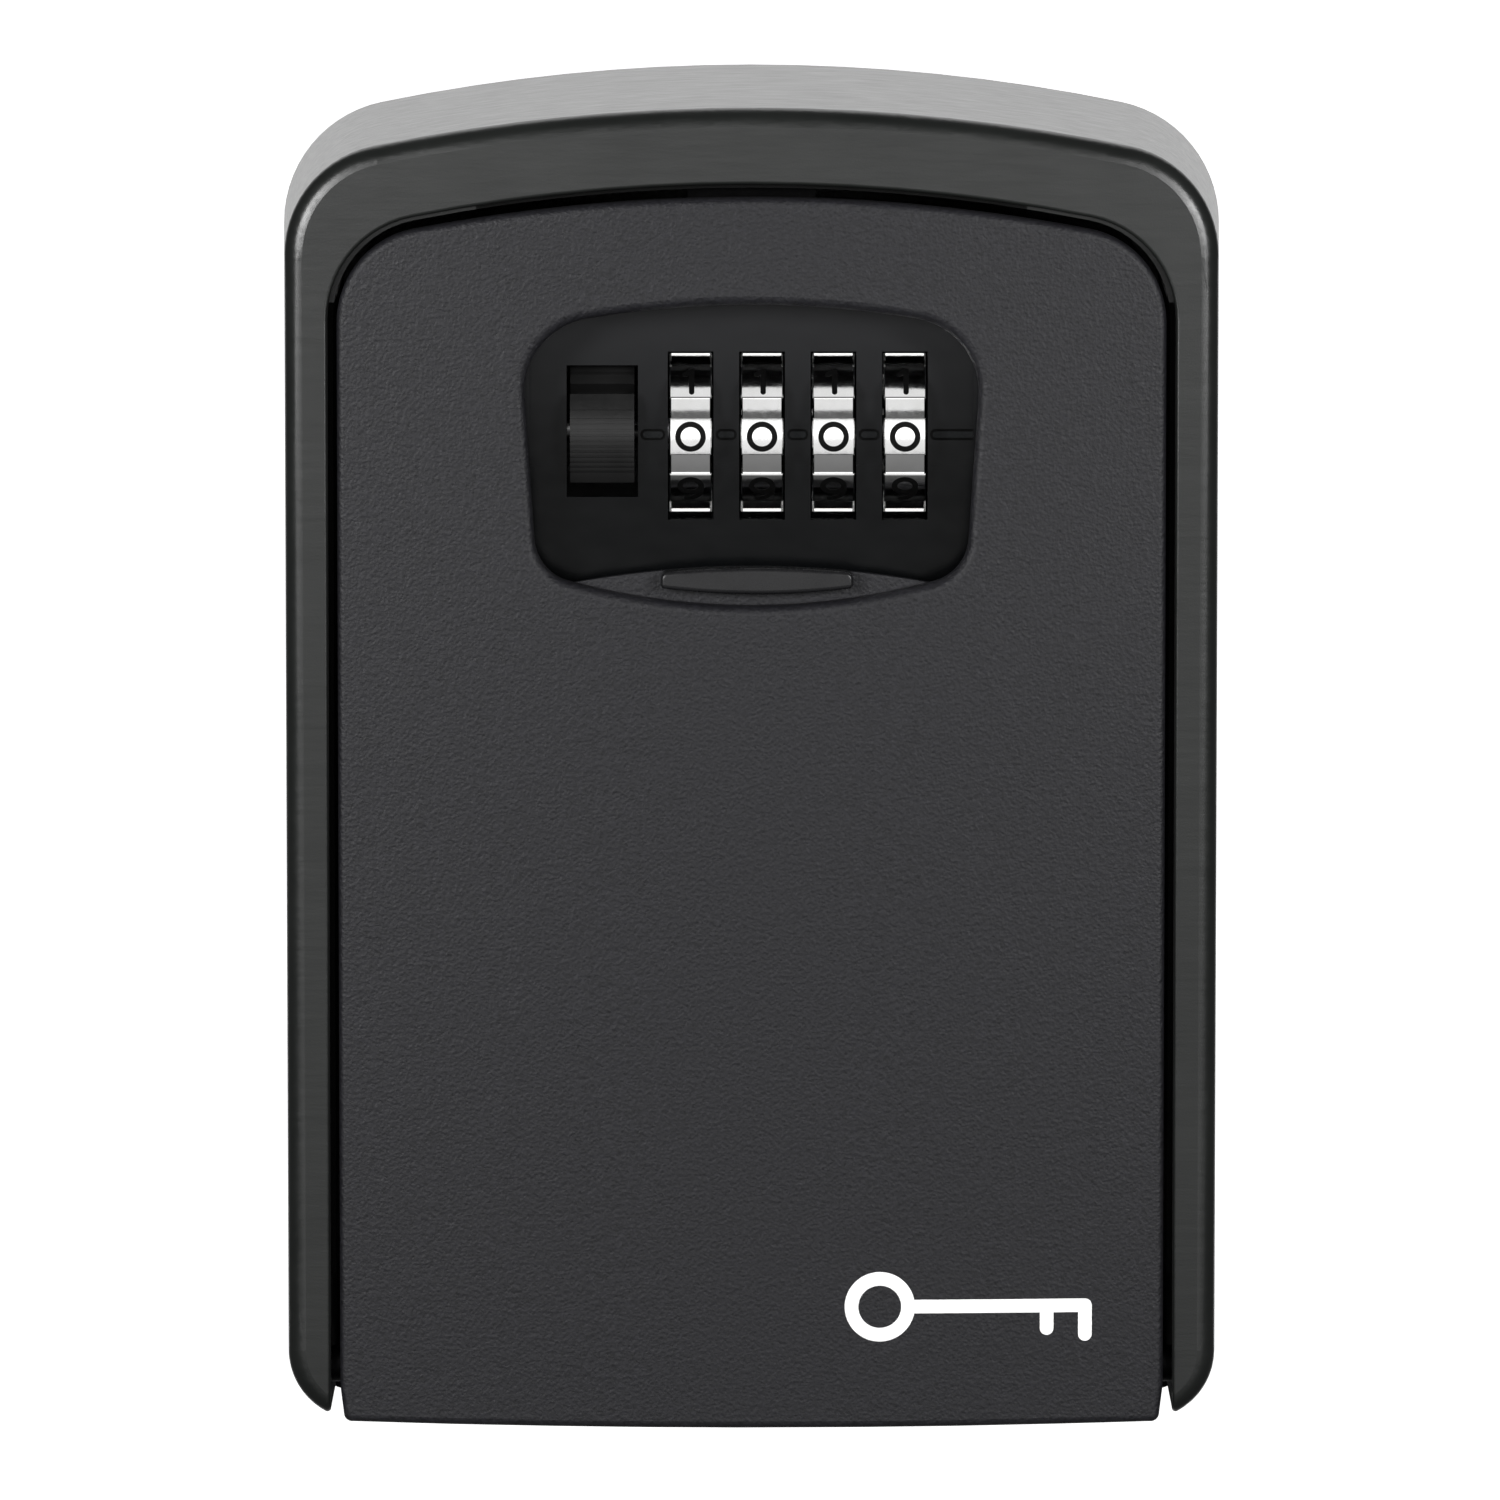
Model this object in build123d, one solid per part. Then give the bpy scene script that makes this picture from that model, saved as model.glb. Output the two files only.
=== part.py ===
from build123d import *
import math
import os

# Wall key lock box: a die-cast housing, a door hinged at its bottom edge, and a four-wheel
# combination lock behind a window in the door. Millimetres.
# +X is to the right, -Y is out of the wall, +Z is up. The origin lies on the back face, at the
# middle of the wall-screw pattern, and halfway up the housing.

# ---------------------------------------------------------------- driving dimensions

# Housing
HOUSING_WIDTH = 105.0
HOUSING_HEIGHT = 146.0
RIM_DEPTH = 49.0            # from the wall to the front of the rim
DRAFT_ANGLE = 2.0           # of the sides and top; the bottom is not drafted
HOUSING_ARCH_RADIUS = 207.0
HOUSING_TOP_CORNER = 13.8
HOUSING_BOTTOM_CORNER = 9.4
RIM_EDGE_RADIUS = 2.0
RIM_INNER_EDGE_RADIUS = 0.4  # also round the lower ends of the two arms
BACK_WALL = 3.0
BOTTOM_WALL = 4.0
BOTTOM_WALL_FRONT_Y = -28.5  # the bottom is open in front of this, between the two side arms

MOUTH_HALF_WIDTH = 46.2
MOUTH_TOP = 63.1
MOUTH_ARCH_RADIUS = 192.0
MOUTH_TOP_CORNER = 11.5
LEDGE_Y = -45.6             # the door stops just in front of this ledge
LEDGE_STEP = 0.55
LEDGE_BOTTOM = -57.0

SCREW_SPACING_X = 60.0
SCREW_SPACING_Z = 90.0
SCREW_HOLE_RADIUS = 2.75
LINER_THICKNESS = 1.5
LINER_HOLE_RADIUS = 6.0
LINER_INSET = 1.5
LINER_BOTTOM_CORNER = 2.0

# Door
DOOR_HALF_WIDTH = 45.15
DOOR_TOP = 61.8
DOOR_BOTTOM = -73.4
DOOR_TOP_ARCH_RADIUS = 190.8
DOOR_BOTTOM_ARCH_RADIUS = 2400.0
DOOR_TOP_CORNER = 10.4
DOOR_BOTTOM_CORNER = 0.9
DOOR_FOOT_LEAN = 0.5        # how far its sides lean inwards at the foot
DOOR_FOOT_HEIGHT = 4.0      # where they start to lean
DOOR_KNEE_RADIUS = 8.0
DOOR_CROWN_Y = -51.0
DOOR_CROWN_RADIUS = 506.0   # the door bows outwards across its width
DOOR_EDGE_RADIUS = 0.8
SKIN = 2.2
FLANGE_INSET = 0.75
FLANGE = 1.8
FLANGE_BACK_Y = -38.0
BOTTOM_FLANGE_BACK_Y = -31.0

# Window in the door
WINDOW_TOP_HALF_WIDTH = 25.2
WINDOW_BOTTOM_HALF_WIDTH = 23.4
WINDOW_TOP = 50.1
WINDOW_BOTTOM = 17.2
WINDOW_TOP_RADIUS = 106.0
WINDOW_BOTTOM_RADIUS = 77.0
WINDOW_TOP_CORNER = 8.2
WINDOW_BOTTOM_CORNER = 5.0
WINDOW_EDGE_RADIUS = 1.0

# Hinge along the door's bottom edge
HINGE_Y = -45.5
HINGE_Z = -67.0
HINGE_PIN_RADIUS = 2.0
HINGE_PIN_CLEARANCE = 0.05
HINGE_EAR_RADIUS = 4.5
HINGE_PIN_INNER_X = 39.9
HINGE_PIN_OUTER_X = 48.8
HINGE_PIN_CHAMFER = 0.3
HINGE_EAR_LAP = 0.4         # how far the ear reaches past the pin's inner end

# Shutter, which slides between the door skin and the faceplate
SHUTTER_FRONT_INSET = 2.8   # how far it lies behind the door's front surface
SHUTTER_THICKNESS = 1.2
SHUTTER_HALF_WIDTH = 26.6
SHUTTER_TOP = 21.3
SHUTTER_HEIGHT = 37.0
SHUTTER_TOP_CORNER = 6.0
SHUTTER_BOTTOM_CORNER = 2.0
SHUTTER_RIB_WIDTH = 1.0
SHUTTER_SIDE_GAP = 0.4
SHUTTER_STOP_GAP = 0.3
GRIP_X = 0.6
GRIP_WIDTH = 21.0
GRIP_TOP = 21.38
GRIP_HEIGHT = 2.9
GRIP_END_DROP = 0.5         # how far the ends lie below the middle of the top edge
GRIP_END_HEIGHT = 1.75
GRIP_UPPER_CORNER = 0.85
GRIP_LOWER_CORNER = 0.5
GRIP_EDGE_RADIUS = 0.45
GRIP_FRONT_INSET = 0.7

# Faceplate
FACE_Y = -43.6              # front of the plate between the wheels
FACE_THICKNESS = 1.5
FACE_HALF_WIDTH = 28.2
FACE_WALL_INNER_X = 24.2
FACE_WALL_FRONT_Y = -45.95
FACE_TOP = 56.0
FACE_WALL = 1.5
FACE_TRAY_BOTTOM = 13.0
FACE_TONGUE_BOTTOM = -18.0
INDEX_MARK_HEIGHT = 1.25
INDEX_MARK_DEPTH = 0.35
INDEX_MARK_LINE = 0.28
INDEX_MARK_GAP = 0.25

# Number wheels
WHEEL_COUNT = 4
DIGITS = 10
WHEEL_PITCH = 7.8
FIRST_WHEEL_X = -6.65
AXIS_Y = -36.1
AXIS_Z = 35.35
WHEEL_RADIUS = 10.1
WHEEL_WIDTH = 4.6
WHEEL_BAND_WIDTH = 4.2
WHEEL_BAND_RECESS = 0.3
PAD_HALF_ANGLE = 11.5
PAD_CHAMFER = 0.12
PAD_ROOT_RADIUS = 7.5
WHEEL_BORE_RADIUS = 6.0
WEB_NEAR_X = 1.1            # the wheel's inner web, measured from the wheel's middle
WHEEL_SLOT_WIDTH = 5.0
WHEEL_SLOT_TOP = 44.45
WHEEL_SLOT_BOTTOM = 26.0

# Code sleeves inside the wheels
SHAFT_RADIUS = 1.5
SLEEVE_HUB_RADIUS = 3.2
SLEEVE_LEFT_X = -2.2
SLEEVE_RIGHT_X = 5.4
SPLINE_RADIUS = 4.4
SPLINE_WIDTH = 0.9
SPLINE_NEAR_X = 1.2
SPLINE_FAR_X = 2.2
SPLINE_PLAY = 0.07
GATE_DISC_RADIUS = 5.6
GATE_NEAR_X = 4.1
GATE_FAR_X = 5.1
GATE_FLOOR_RADIUS = 3.5
GATE_WIDTH = 3.1
RUNNING_CLEARANCE = 0.05

# Shaft
SHAFT_LEFT_X = -29.0
SHAFT_RIGHT_X = 29.5
SHAFT_SHIFT = 1.5           # how far the shaft moves left when the code is changed
CLIP_RADIUS = 2.5
COLLAR_RADIUS = 2.9
CLIP_THICKNESS = 0.6
CLIP_MOUTH = 1.8
CLIP_PLAY = 0.02
CLIP_GAP = 0.2              # between a clip and the stack of sleeves
CLIP_GROOVE_RADIUS = 1.1
COLLAR_X = -21.9
COLLAR_THICKNESS = 0.8
SHAFT_CHAMFER = 0.9
SHAFT_SPRING_RADIUS = 2.35
SHAFT_SPRING_WIRE = 0.25
SHAFT_SPRING_PITCH = 0.85
SHAFT_SPRING_LENGTH = 3.1
SHAFT_SPRING_GAP = 0.35

# Release lever left of the wheels
LEVER_X = -16.3
LEVER_WIDTH = 7.0
LEVER_RADIUS = 9.9
LEVER_SLOT_WIDTH = 7.8
LEVER_SLOT_TOP = 42.95
LEVER_SLOT_BOTTOM = 28.5
LEVER_SLOT_UNDERCUT = 1.4   # how much lower the slot is at the back of the plate
LEVER_LOW_ANGLE = -31.5
LEVER_HIGH_ANGLE = 74.0
LEVER_RIDGE_COUNT = 11
LEVER_RIDGE_PITCH = 3.4     # degrees
LEVER_RIDGE_START = -21.5   # degrees
RIDGE_HALF_ANGLE = 1.0
RIDGE_DEPTH = 0.25
FOOT_ANGLE = 7.5            # the plain foot under the ridges
BAND_ANGLE = 17.0           # where the plain band above the ridges starts
APRON_ANGLE = 27.5          # where the band ends and the lower apron starts
APRON_DEPTH = 1.1           # how far the apron lies below the pad
APRON_RIBS = ((37.0, 43.5), (47.0, 53.0))
APRON_RIB_DEPTH = 0.65
VALLEY_DEPTH = 2.8          # the valley between the band and the first rib
LEVER_INNER_RADIUS = 2.0
LEVER_HUB_RADIUS = 3.6
LEVER_PIN_REACH = 5.0
LEVER_PIN_RADIUS = 0.8
LEVER_PIN_LENGTH = 2.4

# Latch plate
LATCH_TIP_Z = 64.4
LATCH_TIP_WIDTH = 14.0
LATCH_RISER_FRONT_Y = -41.2
LATCH_RISER_THICKNESS = 3.0
LATCH_TIP_CHAMFER = 1.0
LATCH_TIP_GAP = 0.4         # in front of the tip, in the openings it passes through
LATCH_SHELF_Z = 48.2
LATCH_SHELF_THICKNESS = 1.5
LATCH_SHELF_RIGHT_X = 25.3
LATCH_SHELF_BACK_Y = -28.5
LEG_LEFT_X = -12.3
LEG_THICKNESS = 1.4
LEG_FOOT_DROP = 2.6         # how far the leg reaches below the wheels' axis
LEG_SLOT_WALL = 0.7
LEG_SLOT_PLAY = 0.1
LEG_BACK_Y = -38.9
FENCE_TAB_WIDTH = 0.7
FENCE_TAB_DEPTH = 2.4
FENCE_TAB_GAP = 0.4         # above the gate discs, with the lever up
STRIKE_POCKET_TOP = 66.0
STRIKE_POCKET_DEPTH = 4.0   # how far it starts below the top of the mouth
STRIKE_POCKET_SIDE_GAP = 1.5
STRIKE_POCKET_BACK_GAP = 1.0
LATCH_SPRING_X = 24.0
LATCH_SPRING_Y = -30.6
LATCH_SPRING_FOOT = 38.6
LATCH_SPRING_RADIUS = 1.3
LATCH_SPRING_WIRE = 0.22
LATCH_SPRING_PITCH = 1.5
LATCH_SPRING_GAP = 0.3
LATCH_SPRING_POST_RADIUS = 1.75

# Lock case and cover
CASE_HALF_WIDTH = 28.0
CASE_WALL = 2.0
CASE_BOTTOM = 17.0
CASE_TOP = 55.0
CASE_BACK_Y = -22.0
COVER_THICKNESS = 1.5
COVER_CORNER = 2.0
COVER_PANEL_HALF_WIDTH = 19.0
COVER_PANEL_INSET = 6.0
COVER_PANEL_HEIGHT = 0.6
COVER_PANEL_CORNER = 3.0
COVER_SCREW_X = 24.3
COVER_SCREW_INSET = 3.7
COVER_BOSS_RADIUS = 2.2
COVER_BOSS_LENGTH = 6.0
CASE_SCREW_X = 31.6
CASE_SCREW_LOW_Z = 20.2
CASE_SCREW_HIGH_Z = 52.0
EAR_THICKNESS = 2.0
EAR_HALF_HEIGHT = 3.2
EAR_REACH = 3.0             # how far an ear reaches past its screw
BOSS_RADIUS = 2.9
RAIL_OUTER_X = 36.0
RAIL_INNER_X = 34.1
RAIL_BOTTOM = 25.0
RAIL_TOP = 47.0

# Screws of the lock
SCREW_RADIUS = 1.2
SCREW_HOLE_PLAY = 0.2
SCREW_THREAD_PLAY = 0.02
SCREW_HEAD_RADIUS = 2.1
SCREW_HEAD_HEIGHT = 1.3
SCREW_HEAD_EDGE = 0.5
SCREW_CROSS_REACH = 1.2
SCREW_CROSS_WIDTH = 0.5
SCREW_CROSS_FLOOR = 0.5
COVER_SCREW_LENGTH = 6.0
CASE_SCREW_LENGTH = 5.5

# Detent spring on the floor of the lock case
DETENT_SHEET = 0.4
DETENT_LEAF_OVERHANG = 2.2
DETENT_LEAF_FRONT_Y = -30.5
DETENT_LEAF_BACK_Y = -24.5
DETENT_FINGER_HALF_WIDTH = 1.5
DETENT_FINGER_FRONT_Y = -37.4
DETENT_GAP = 0.35           # between the finger's tip and the wheel
DETENT_SCREW_Y = -27.5
DETENT_SCREW_RADIUS = 0.85
DETENT_SCREW_LENGTH = 1.5
DETENT_HEAD_RADIUS = 1.7
DETENT_HEAD_HEIGHT = 1.0

# Reset lever beside the case
RESET_TRAVEL = 4.0
RESET_SLOPE = SHAFT_SHIFT / RESET_TRAVEL
RESET_FRONT_Y = -39.7
RESET_BACK_Y = -34.0
RESET_FACE_X = 30.0         # its sloped face at the height of the shaft
RESET_OUTER_X = 33.7
RESET_BOTTOM = 27.0
RESET_TOP = 45.0
RESET_SLOPE_RISE = 3.6      # how far the slope goes on above the shaft
RESET_TAB_BACK_Y = -19.6
RESET_TAB_BOTTOM = 40.8
RESET_TAB_TOP = 44.8
RESET_TAB_CORNER = 1.2

BIG = 200.0


# ---------------------------------------------------------------- helpers

def block(x_low, x_high, y_low, y_high, z_low, z_high):
    """An upright box between two corners."""
    size = (x_high - x_low, y_high - y_low, z_high - z_low)
    middle = ((x_low + x_high) / 2, (y_low + y_high) / 2, (z_low + z_high) / 2)
    return Pos(*middle) * Box(*size)


def front_slab(face, y_back, y_front):
    """Pushes a face drawn in X and Z out from y_back to y_front."""
    return extrude(Plane.XZ.offset(-y_back) * face, amount=y_back - y_front)


def rod(radius, x_low, x_high, y, z):
    """A round bar along X."""
    return Pos((x_low + x_high) / 2, y, z) * Rot(0, 90, 0) * Cylinder(radius, x_high - x_low)


def axle_rod(radius, x_low, x_high):
    """A round bar along the wheels' axis."""
    return rod(radius, x_low, x_high, AXIS_Y, AXIS_Z)


def screw_rod(radius, y_back, y_front, x, z):
    """A round bar along Y."""
    return Pos(x, (y_back + y_front) / 2, z) * Rot(90, 0, 0) * Cylinder(radius, y_back - y_front)


def crown(inset):
    """The round bar whose front is the door's bowed surface, moved inwards by inset."""
    radius = DOOR_CROWN_RADIUS - inset
    return Pos(0, DOOR_CROWN_Y + DOOR_CROWN_RADIUS, 0) * Cylinder(radius, BIG)


def arched_face(half_width, top, bottom, arch_radius, top_corner, bottom_corner, sag_radius=0.0, lean=0.0):
    """A face with straight sides, an arched top and rounded corners, in X and Z."""
    shoulder = top - arch_radius + math.sqrt(arch_radius**2 - half_width**2)
    foot_half = half_width - lean
    foot = bottom
    base = Line((foot_half, foot), (-foot_half, foot))
    if sag_radius:
        foot = bottom + sag_radius - math.sqrt(sag_radius**2 - foot_half**2)
        base = ThreePointArc((foot_half, foot), (0, bottom), (-foot_half, foot))
    edges = [ThreePointArc((-half_width, shoulder), (0, top), (half_width, shoulder)), base]
    knee = foot + DOOR_FOOT_HEIGHT
    for side in (-1, 1):
        if lean:
            edges.append(Line((side * half_width, shoulder), (side * half_width, knee)))
            edges.append(Line((side * half_width, knee), (side * foot_half, foot)))
        else:
            edges.append(Line((side * half_width, shoulder), (side * half_width, foot)))
    face = make_face(edges)
    face = fillet([v for v in face.vertices() if v.Y > 0], top_corner)
    if lean:
        face = fillet([v for v in face.vertices() if abs(v.Y - knee) < 0.01], DOOR_KNEE_RADIUS)
    lower = [v for v in face.vertices() if v.Y < foot + 0.01]
    return fillet(lower, bottom_corner) if bottom_corner else face


def window_face():
    """The window's outline: arched above, bowed below, a little narrower at the bottom."""
    top_drop = WINDOW_TOP_RADIUS - math.sqrt(WINDOW_TOP_RADIUS**2 - WINDOW_TOP_HALF_WIDTH**2)
    low_rise = WINDOW_BOTTOM_RADIUS - math.sqrt(WINDOW_BOTTOM_RADIUS**2 - WINDOW_BOTTOM_HALF_WIDTH**2)
    high = (WINDOW_TOP_HALF_WIDTH, WINDOW_TOP - top_drop)
    low = (WINDOW_BOTTOM_HALF_WIDTH, WINDOW_BOTTOM + low_rise)
    arch = ThreePointArc((-high[0], high[1]), (0, WINDOW_TOP), high)
    right = Line(high, low)
    bow = ThreePointArc(low, (0, WINDOW_BOTTOM), (-low[0], low[1]))
    left = Line((-low[0], low[1]), (-high[0], high[1]))
    face = make_face([arch, right, bow, left])
    middle = (WINDOW_TOP + WINDOW_BOTTOM) / 2
    face = fillet([v for v in face.vertices() if v.Y > middle], WINDOW_TOP_CORNER)
    return fillet([v for v in face.vertices() if v.Y < middle and v.Y > low[1] - 0.01],
                  WINDOW_BOTTOM_CORNER)


def wheel_x(index):
    """The middle of a number wheel."""
    return FIRST_WHEEL_X + index * WHEEL_PITCH


def corner_screws():
    """The places of the cover's four screws."""
    for x in (-COVER_SCREW_X, COVER_SCREW_X):
        for z in (CASE_BOTTOM + COVER_SCREW_INSET, CASE_TOP - COVER_SCREW_INSET):
            yield x, z


def case_screws():
    """The places of the four screws that hold the case to the door."""
    for x in (-CASE_SCREW_X, CASE_SCREW_X):
        for z in (CASE_SCREW_LOW_Z, CASE_SCREW_HIGH_Z):
            yield x, z


def side_slab(points, x_low, x_high):
    """Pushes a profile drawn in Y and Z along X."""
    face = Plane.YZ.offset(x_low) * make_face(Polyline(*points, close=True))
    return extrude(face, amount=x_high - x_low)


def ring_sector(inner, outer, low_angle, high_angle, x_low, x_high):
    """Part of a ring round the wheels' axis. Angle 0 faces out of the wall, and grows upwards."""
    def at(radius, angle):
        turn = math.radians(angle)
        return (AXIS_Y - radius * math.cos(turn), AXIS_Z + radius * math.sin(turn))
    middle = (low_angle + high_angle) / 2
    edges = [
        ThreePointArc(at(outer, low_angle), at(outer, middle), at(outer, high_angle)),
        Line(at(outer, high_angle), at(inner, high_angle)),
        ThreePointArc(at(inner, high_angle), at(inner, middle), at(inner, low_angle)),
        Line(at(inner, low_angle), at(outer, low_angle)),
    ]
    return extrude(Plane.YZ.offset(x_low) * make_face(edges), amount=x_high - x_low)


def edges_near(shape, test):
    """The edges of a shape whose middle passes a test."""
    return [edge for edge in shape.edges() if test(edge.center())]


def save(shape, name):
    """Writes one node's STEP file."""
    shape.label = name
    export_step(shape, os.path.join("parts", name + ".step"))
    print(name, round(shape.volume, 1), shape.is_valid)


# ---------------------------------------------------------------- housing

def mouth_face(step):
    """The housing's opening, made smaller all round by step."""
    return arched_face(MOUTH_HALF_WIDTH - step, MOUTH_TOP - step, LEDGE_BOTTOM,
                       MOUTH_ARCH_RADIUS - step, MOUTH_TOP_CORNER - step, 0.0)


def make_housing():
    half = HOUSING_HEIGHT / 2
    sections = []
    for depth in (0.0, RIM_DEPTH):
        draft = depth * math.tan(math.radians(DRAFT_ANGLE))
        outline = arched_face(HOUSING_WIDTH / 2 - draft, half - draft, -half, HOUSING_ARCH_RADIUS - draft,
                              HOUSING_TOP_CORNER - draft, HOUSING_BOTTOM_CORNER - draft)
        sections.append(Plane.XZ.offset(depth) * outline)
    body = loft(sections, ruled=True)
    rim_edges = body.faces().sort_by(Axis.Y)[0].edges()
    body = fillet(rim_edges, RIM_EDGE_RADIUS)

    # The mouth, the narrower space behind the ledge, and the plain lower part of both.
    body -= front_slab(mouth_face(0.0), LEDGE_Y, -BIG)
    body -= front_slab(mouth_face(LEDGE_STEP), -BACK_WALL, -BIG)
    inner_floor = -half + BOTTOM_WALL
    lower = block(-MOUTH_HALF_WIDTH, MOUTH_HALF_WIDTH, -BIG, -BACK_WALL, inner_floor, LEDGE_BOTTOM)
    body -= lower
    body -= block(-MOUTH_HALF_WIDTH, MOUTH_HALF_WIDTH, -BIG, BOTTOM_WALL_FRONT_Y, -BIG, LEDGE_BOTTOM)
    rim_mouth = edges_near(body, lambda c: abs(c.Y + RIM_DEPTH) < 0.01 and c.Z > LEDGE_BOTTOM - 10
                           and abs(c.X) < MOUTH_HALF_WIDTH + 0.1 and c.Z < MOUTH_TOP + 0.1)
    body = fillet(rim_mouth, RIM_INNER_EDGE_RADIUS)

    # The latch tip rises into this pocket, and its front wall is the strike.
    pocket_half = LATCH_TIP_WIDTH / 2 + STRIKE_POCKET_SIDE_GAP
    pocket_front = LATCH_RISER_FRONT_Y - LATCH_TIP_GAP
    pocket_back = LATCH_RISER_FRONT_Y + LATCH_RISER_THICKNESS + STRIKE_POCKET_BACK_GAP
    body -= block(-pocket_half, pocket_half, pocket_front, pocket_back,
                  MOUTH_TOP - STRIKE_POCKET_DEPTH, STRIKE_POCKET_TOP)

    for side in (-1, 1):
        outer = side * (HINGE_PIN_OUTER_X + 0.1)
        inner = side * (MOUTH_HALF_WIDTH - 1)
        body -= rod(HINGE_PIN_RADIUS, min(inner, outer), max(inner, outer), HINGE_Y, HINGE_Z)
        for end in (-1, 1):
            x = side * SCREW_SPACING_X / 2
            z = end * SCREW_SPACING_Z / 2
            body -= screw_rod(SCREW_HOLE_RADIUS, 1.0, -BACK_WALL - 1, x, z)
    return body


def make_liner():
    step = LEDGE_STEP + LINER_INSET
    face = arched_face(MOUTH_HALF_WIDTH - step, MOUTH_TOP - step,
                       -HOUSING_HEIGHT / 2 + BOTTOM_WALL + LINER_INSET, MOUTH_ARCH_RADIUS - step,
                       MOUTH_TOP_CORNER - step, LINER_BOTTOM_CORNER)
    liner = front_slab(face, -BACK_WALL, -BACK_WALL - LINER_THICKNESS)
    for side in (-1, 1):
        for end in (-1, 1):
            liner -= screw_rod(LINER_HOLE_RADIUS, 0, -BACK_WALL - LINER_THICKNESS - 1,
                               side * SCREW_SPACING_X / 2, end * SCREW_SPACING_Z / 2)
    return liner


def make_hinge_pin(side):
    ends = (side * HINGE_PIN_INNER_X, side * HINGE_PIN_OUTER_X)
    pin = rod(HINGE_PIN_RADIUS, min(ends), max(ends), HINGE_Y, HINGE_Z)
    return chamfer(pin.edges().filter_by(GeomType.CIRCLE), HINGE_PIN_CHAMFER)


# ---------------------------------------------------------------- door

def door_face(inset):
    """The door's outline, made smaller all round by inset."""
    return arched_face(DOOR_HALF_WIDTH - inset, DOOR_TOP - inset, DOOR_BOTTOM + inset,
                       DOOR_TOP_ARCH_RADIUS - inset, DOOR_TOP_CORNER - inset,
                       max(DOOR_BOTTOM_CORNER - inset, 0.4), DOOR_BOTTOM_ARCH_RADIUS, DOOR_FOOT_LEAN)


def make_door_shell():
    skin = front_slab(door_face(0.0), -BIG / 5, -BIG) & crown(0.0)
    front_edges = edges_near(skin, lambda c: c.Y < DOOR_CROWN_Y + 3)
    skin = fillet(front_edges, DOOR_EDGE_RADIUS)
    skin -= crown(SKIN)

    opening = front_slab(window_face(), -BIG / 5, -BIG)
    skin -= opening
    window_edges = edges_near(skin, lambda c: c.Y < DOOR_CROWN_Y + SKIN / 2
                              and abs(c.X) < WINDOW_TOP_HALF_WIDTH + 0.3
                              and WINDOW_BOTTOM - 0.3 < c.Z < WINDOW_TOP + 0.3)
    skin = fillet(window_edges, WINDOW_EDGE_RADIUS)

    ring = front_slab(door_face(FLANGE_INSET), BOTTOM_FLANGE_BACK_Y, -BIG)
    ring -= front_slab(door_face(FLANGE_INSET + FLANGE), 0, -BIG)
    ring -= block(-BIG, BIG, FLANGE_BACK_Y, 0, HINGE_Z, BIG)
    ring &= crown(SKIN / 2)

    ears = None
    for side in (-1, 1):
        outer = side * (DOOR_HALF_WIDTH - FLANGE_INSET)
        inner = side * (HINGE_PIN_INNER_X - HINGE_EAR_LAP)
        ear = rod(HINGE_EAR_RADIUS, min(inner, outer), max(inner, outer), HINGE_Y, HINGE_Z)
        ears = ear if ears is None else ears + ear
    ears &= crown(SKIN / 2)

    # Two ribs guide the shutter's sides, and a third one stops it at the bottom.
    rib_in = SHUTTER_HALF_WIDTH + SHUTTER_SIDE_GAP
    rib_low = FACE_TONGUE_BOTTOM
    stop_top = SHUTTER_TOP - SHUTTER_HEIGHT - SHUTTER_STOP_GAP
    stop_half = rib_in + SHUTTER_RIB_WIDTH / 2
    inside = block(-stop_half, stop_half, DOOR_CROWN_Y, FACE_WALL_FRONT_Y, rib_low, stop_top)
    for side in (-1, 1):
        ends = (side * rib_in, side * (rib_in + SHUTTER_RIB_WIDTH))
        inside += block(min(ends), max(ends), DOOR_CROWN_Y, FACE_WALL_FRONT_Y, rib_low, FACE_TOP - FACE_WALL)
    for x, z in case_screws():
        inside += screw_rod(BOSS_RADIUS, FACE_Y + FACE_THICKNESS, DOOR_CROWN_Y, x, z)
    inside &= crown(SKIN / 2)

    door = skin + ring + ears + inside
    for side in (-1, 1):
        ends = (side * (HINGE_PIN_INNER_X - 1), side * BIG)
        door -= rod(HINGE_PIN_RADIUS + HINGE_PIN_CLEARANCE, min(ends), max(ends), HINGE_Y, HINGE_Z)
    for x, z in case_screws():
        door -= screw_rod(SCREW_RADIUS, 0, FACE_Y - 3, x, z)
    # The latch tip passes through a slot in the top flange.
    slot_half = LATCH_TIP_WIDTH / 2 + 0.6
    door -= block(-slot_half, slot_half, LATCH_RISER_FRONT_Y - LATCH_TIP_GAP, 0, DOOR_TOP - 6, DOOR_TOP)
    return door


def index_mark_spans():
    """The stretches of the faceplate that carry an index mark, between its openings."""
    lever_right = LEVER_X + LEVER_SLOT_WIDTH / 2
    spans = []
    left = lever_right + INDEX_MARK_GAP
    for index in range(WHEEL_COUNT):
        slot_left = wheel_x(index) - WHEEL_SLOT_WIDTH / 2
        spans.append((left, slot_left - INDEX_MARK_GAP))
        left = wheel_x(index) + WHEEL_SLOT_WIDTH / 2 + INDEX_MARK_GAP
    spans.append((left, FACE_WALL_INNER_X + INDEX_MARK_HEIGHT))
    return spans


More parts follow.
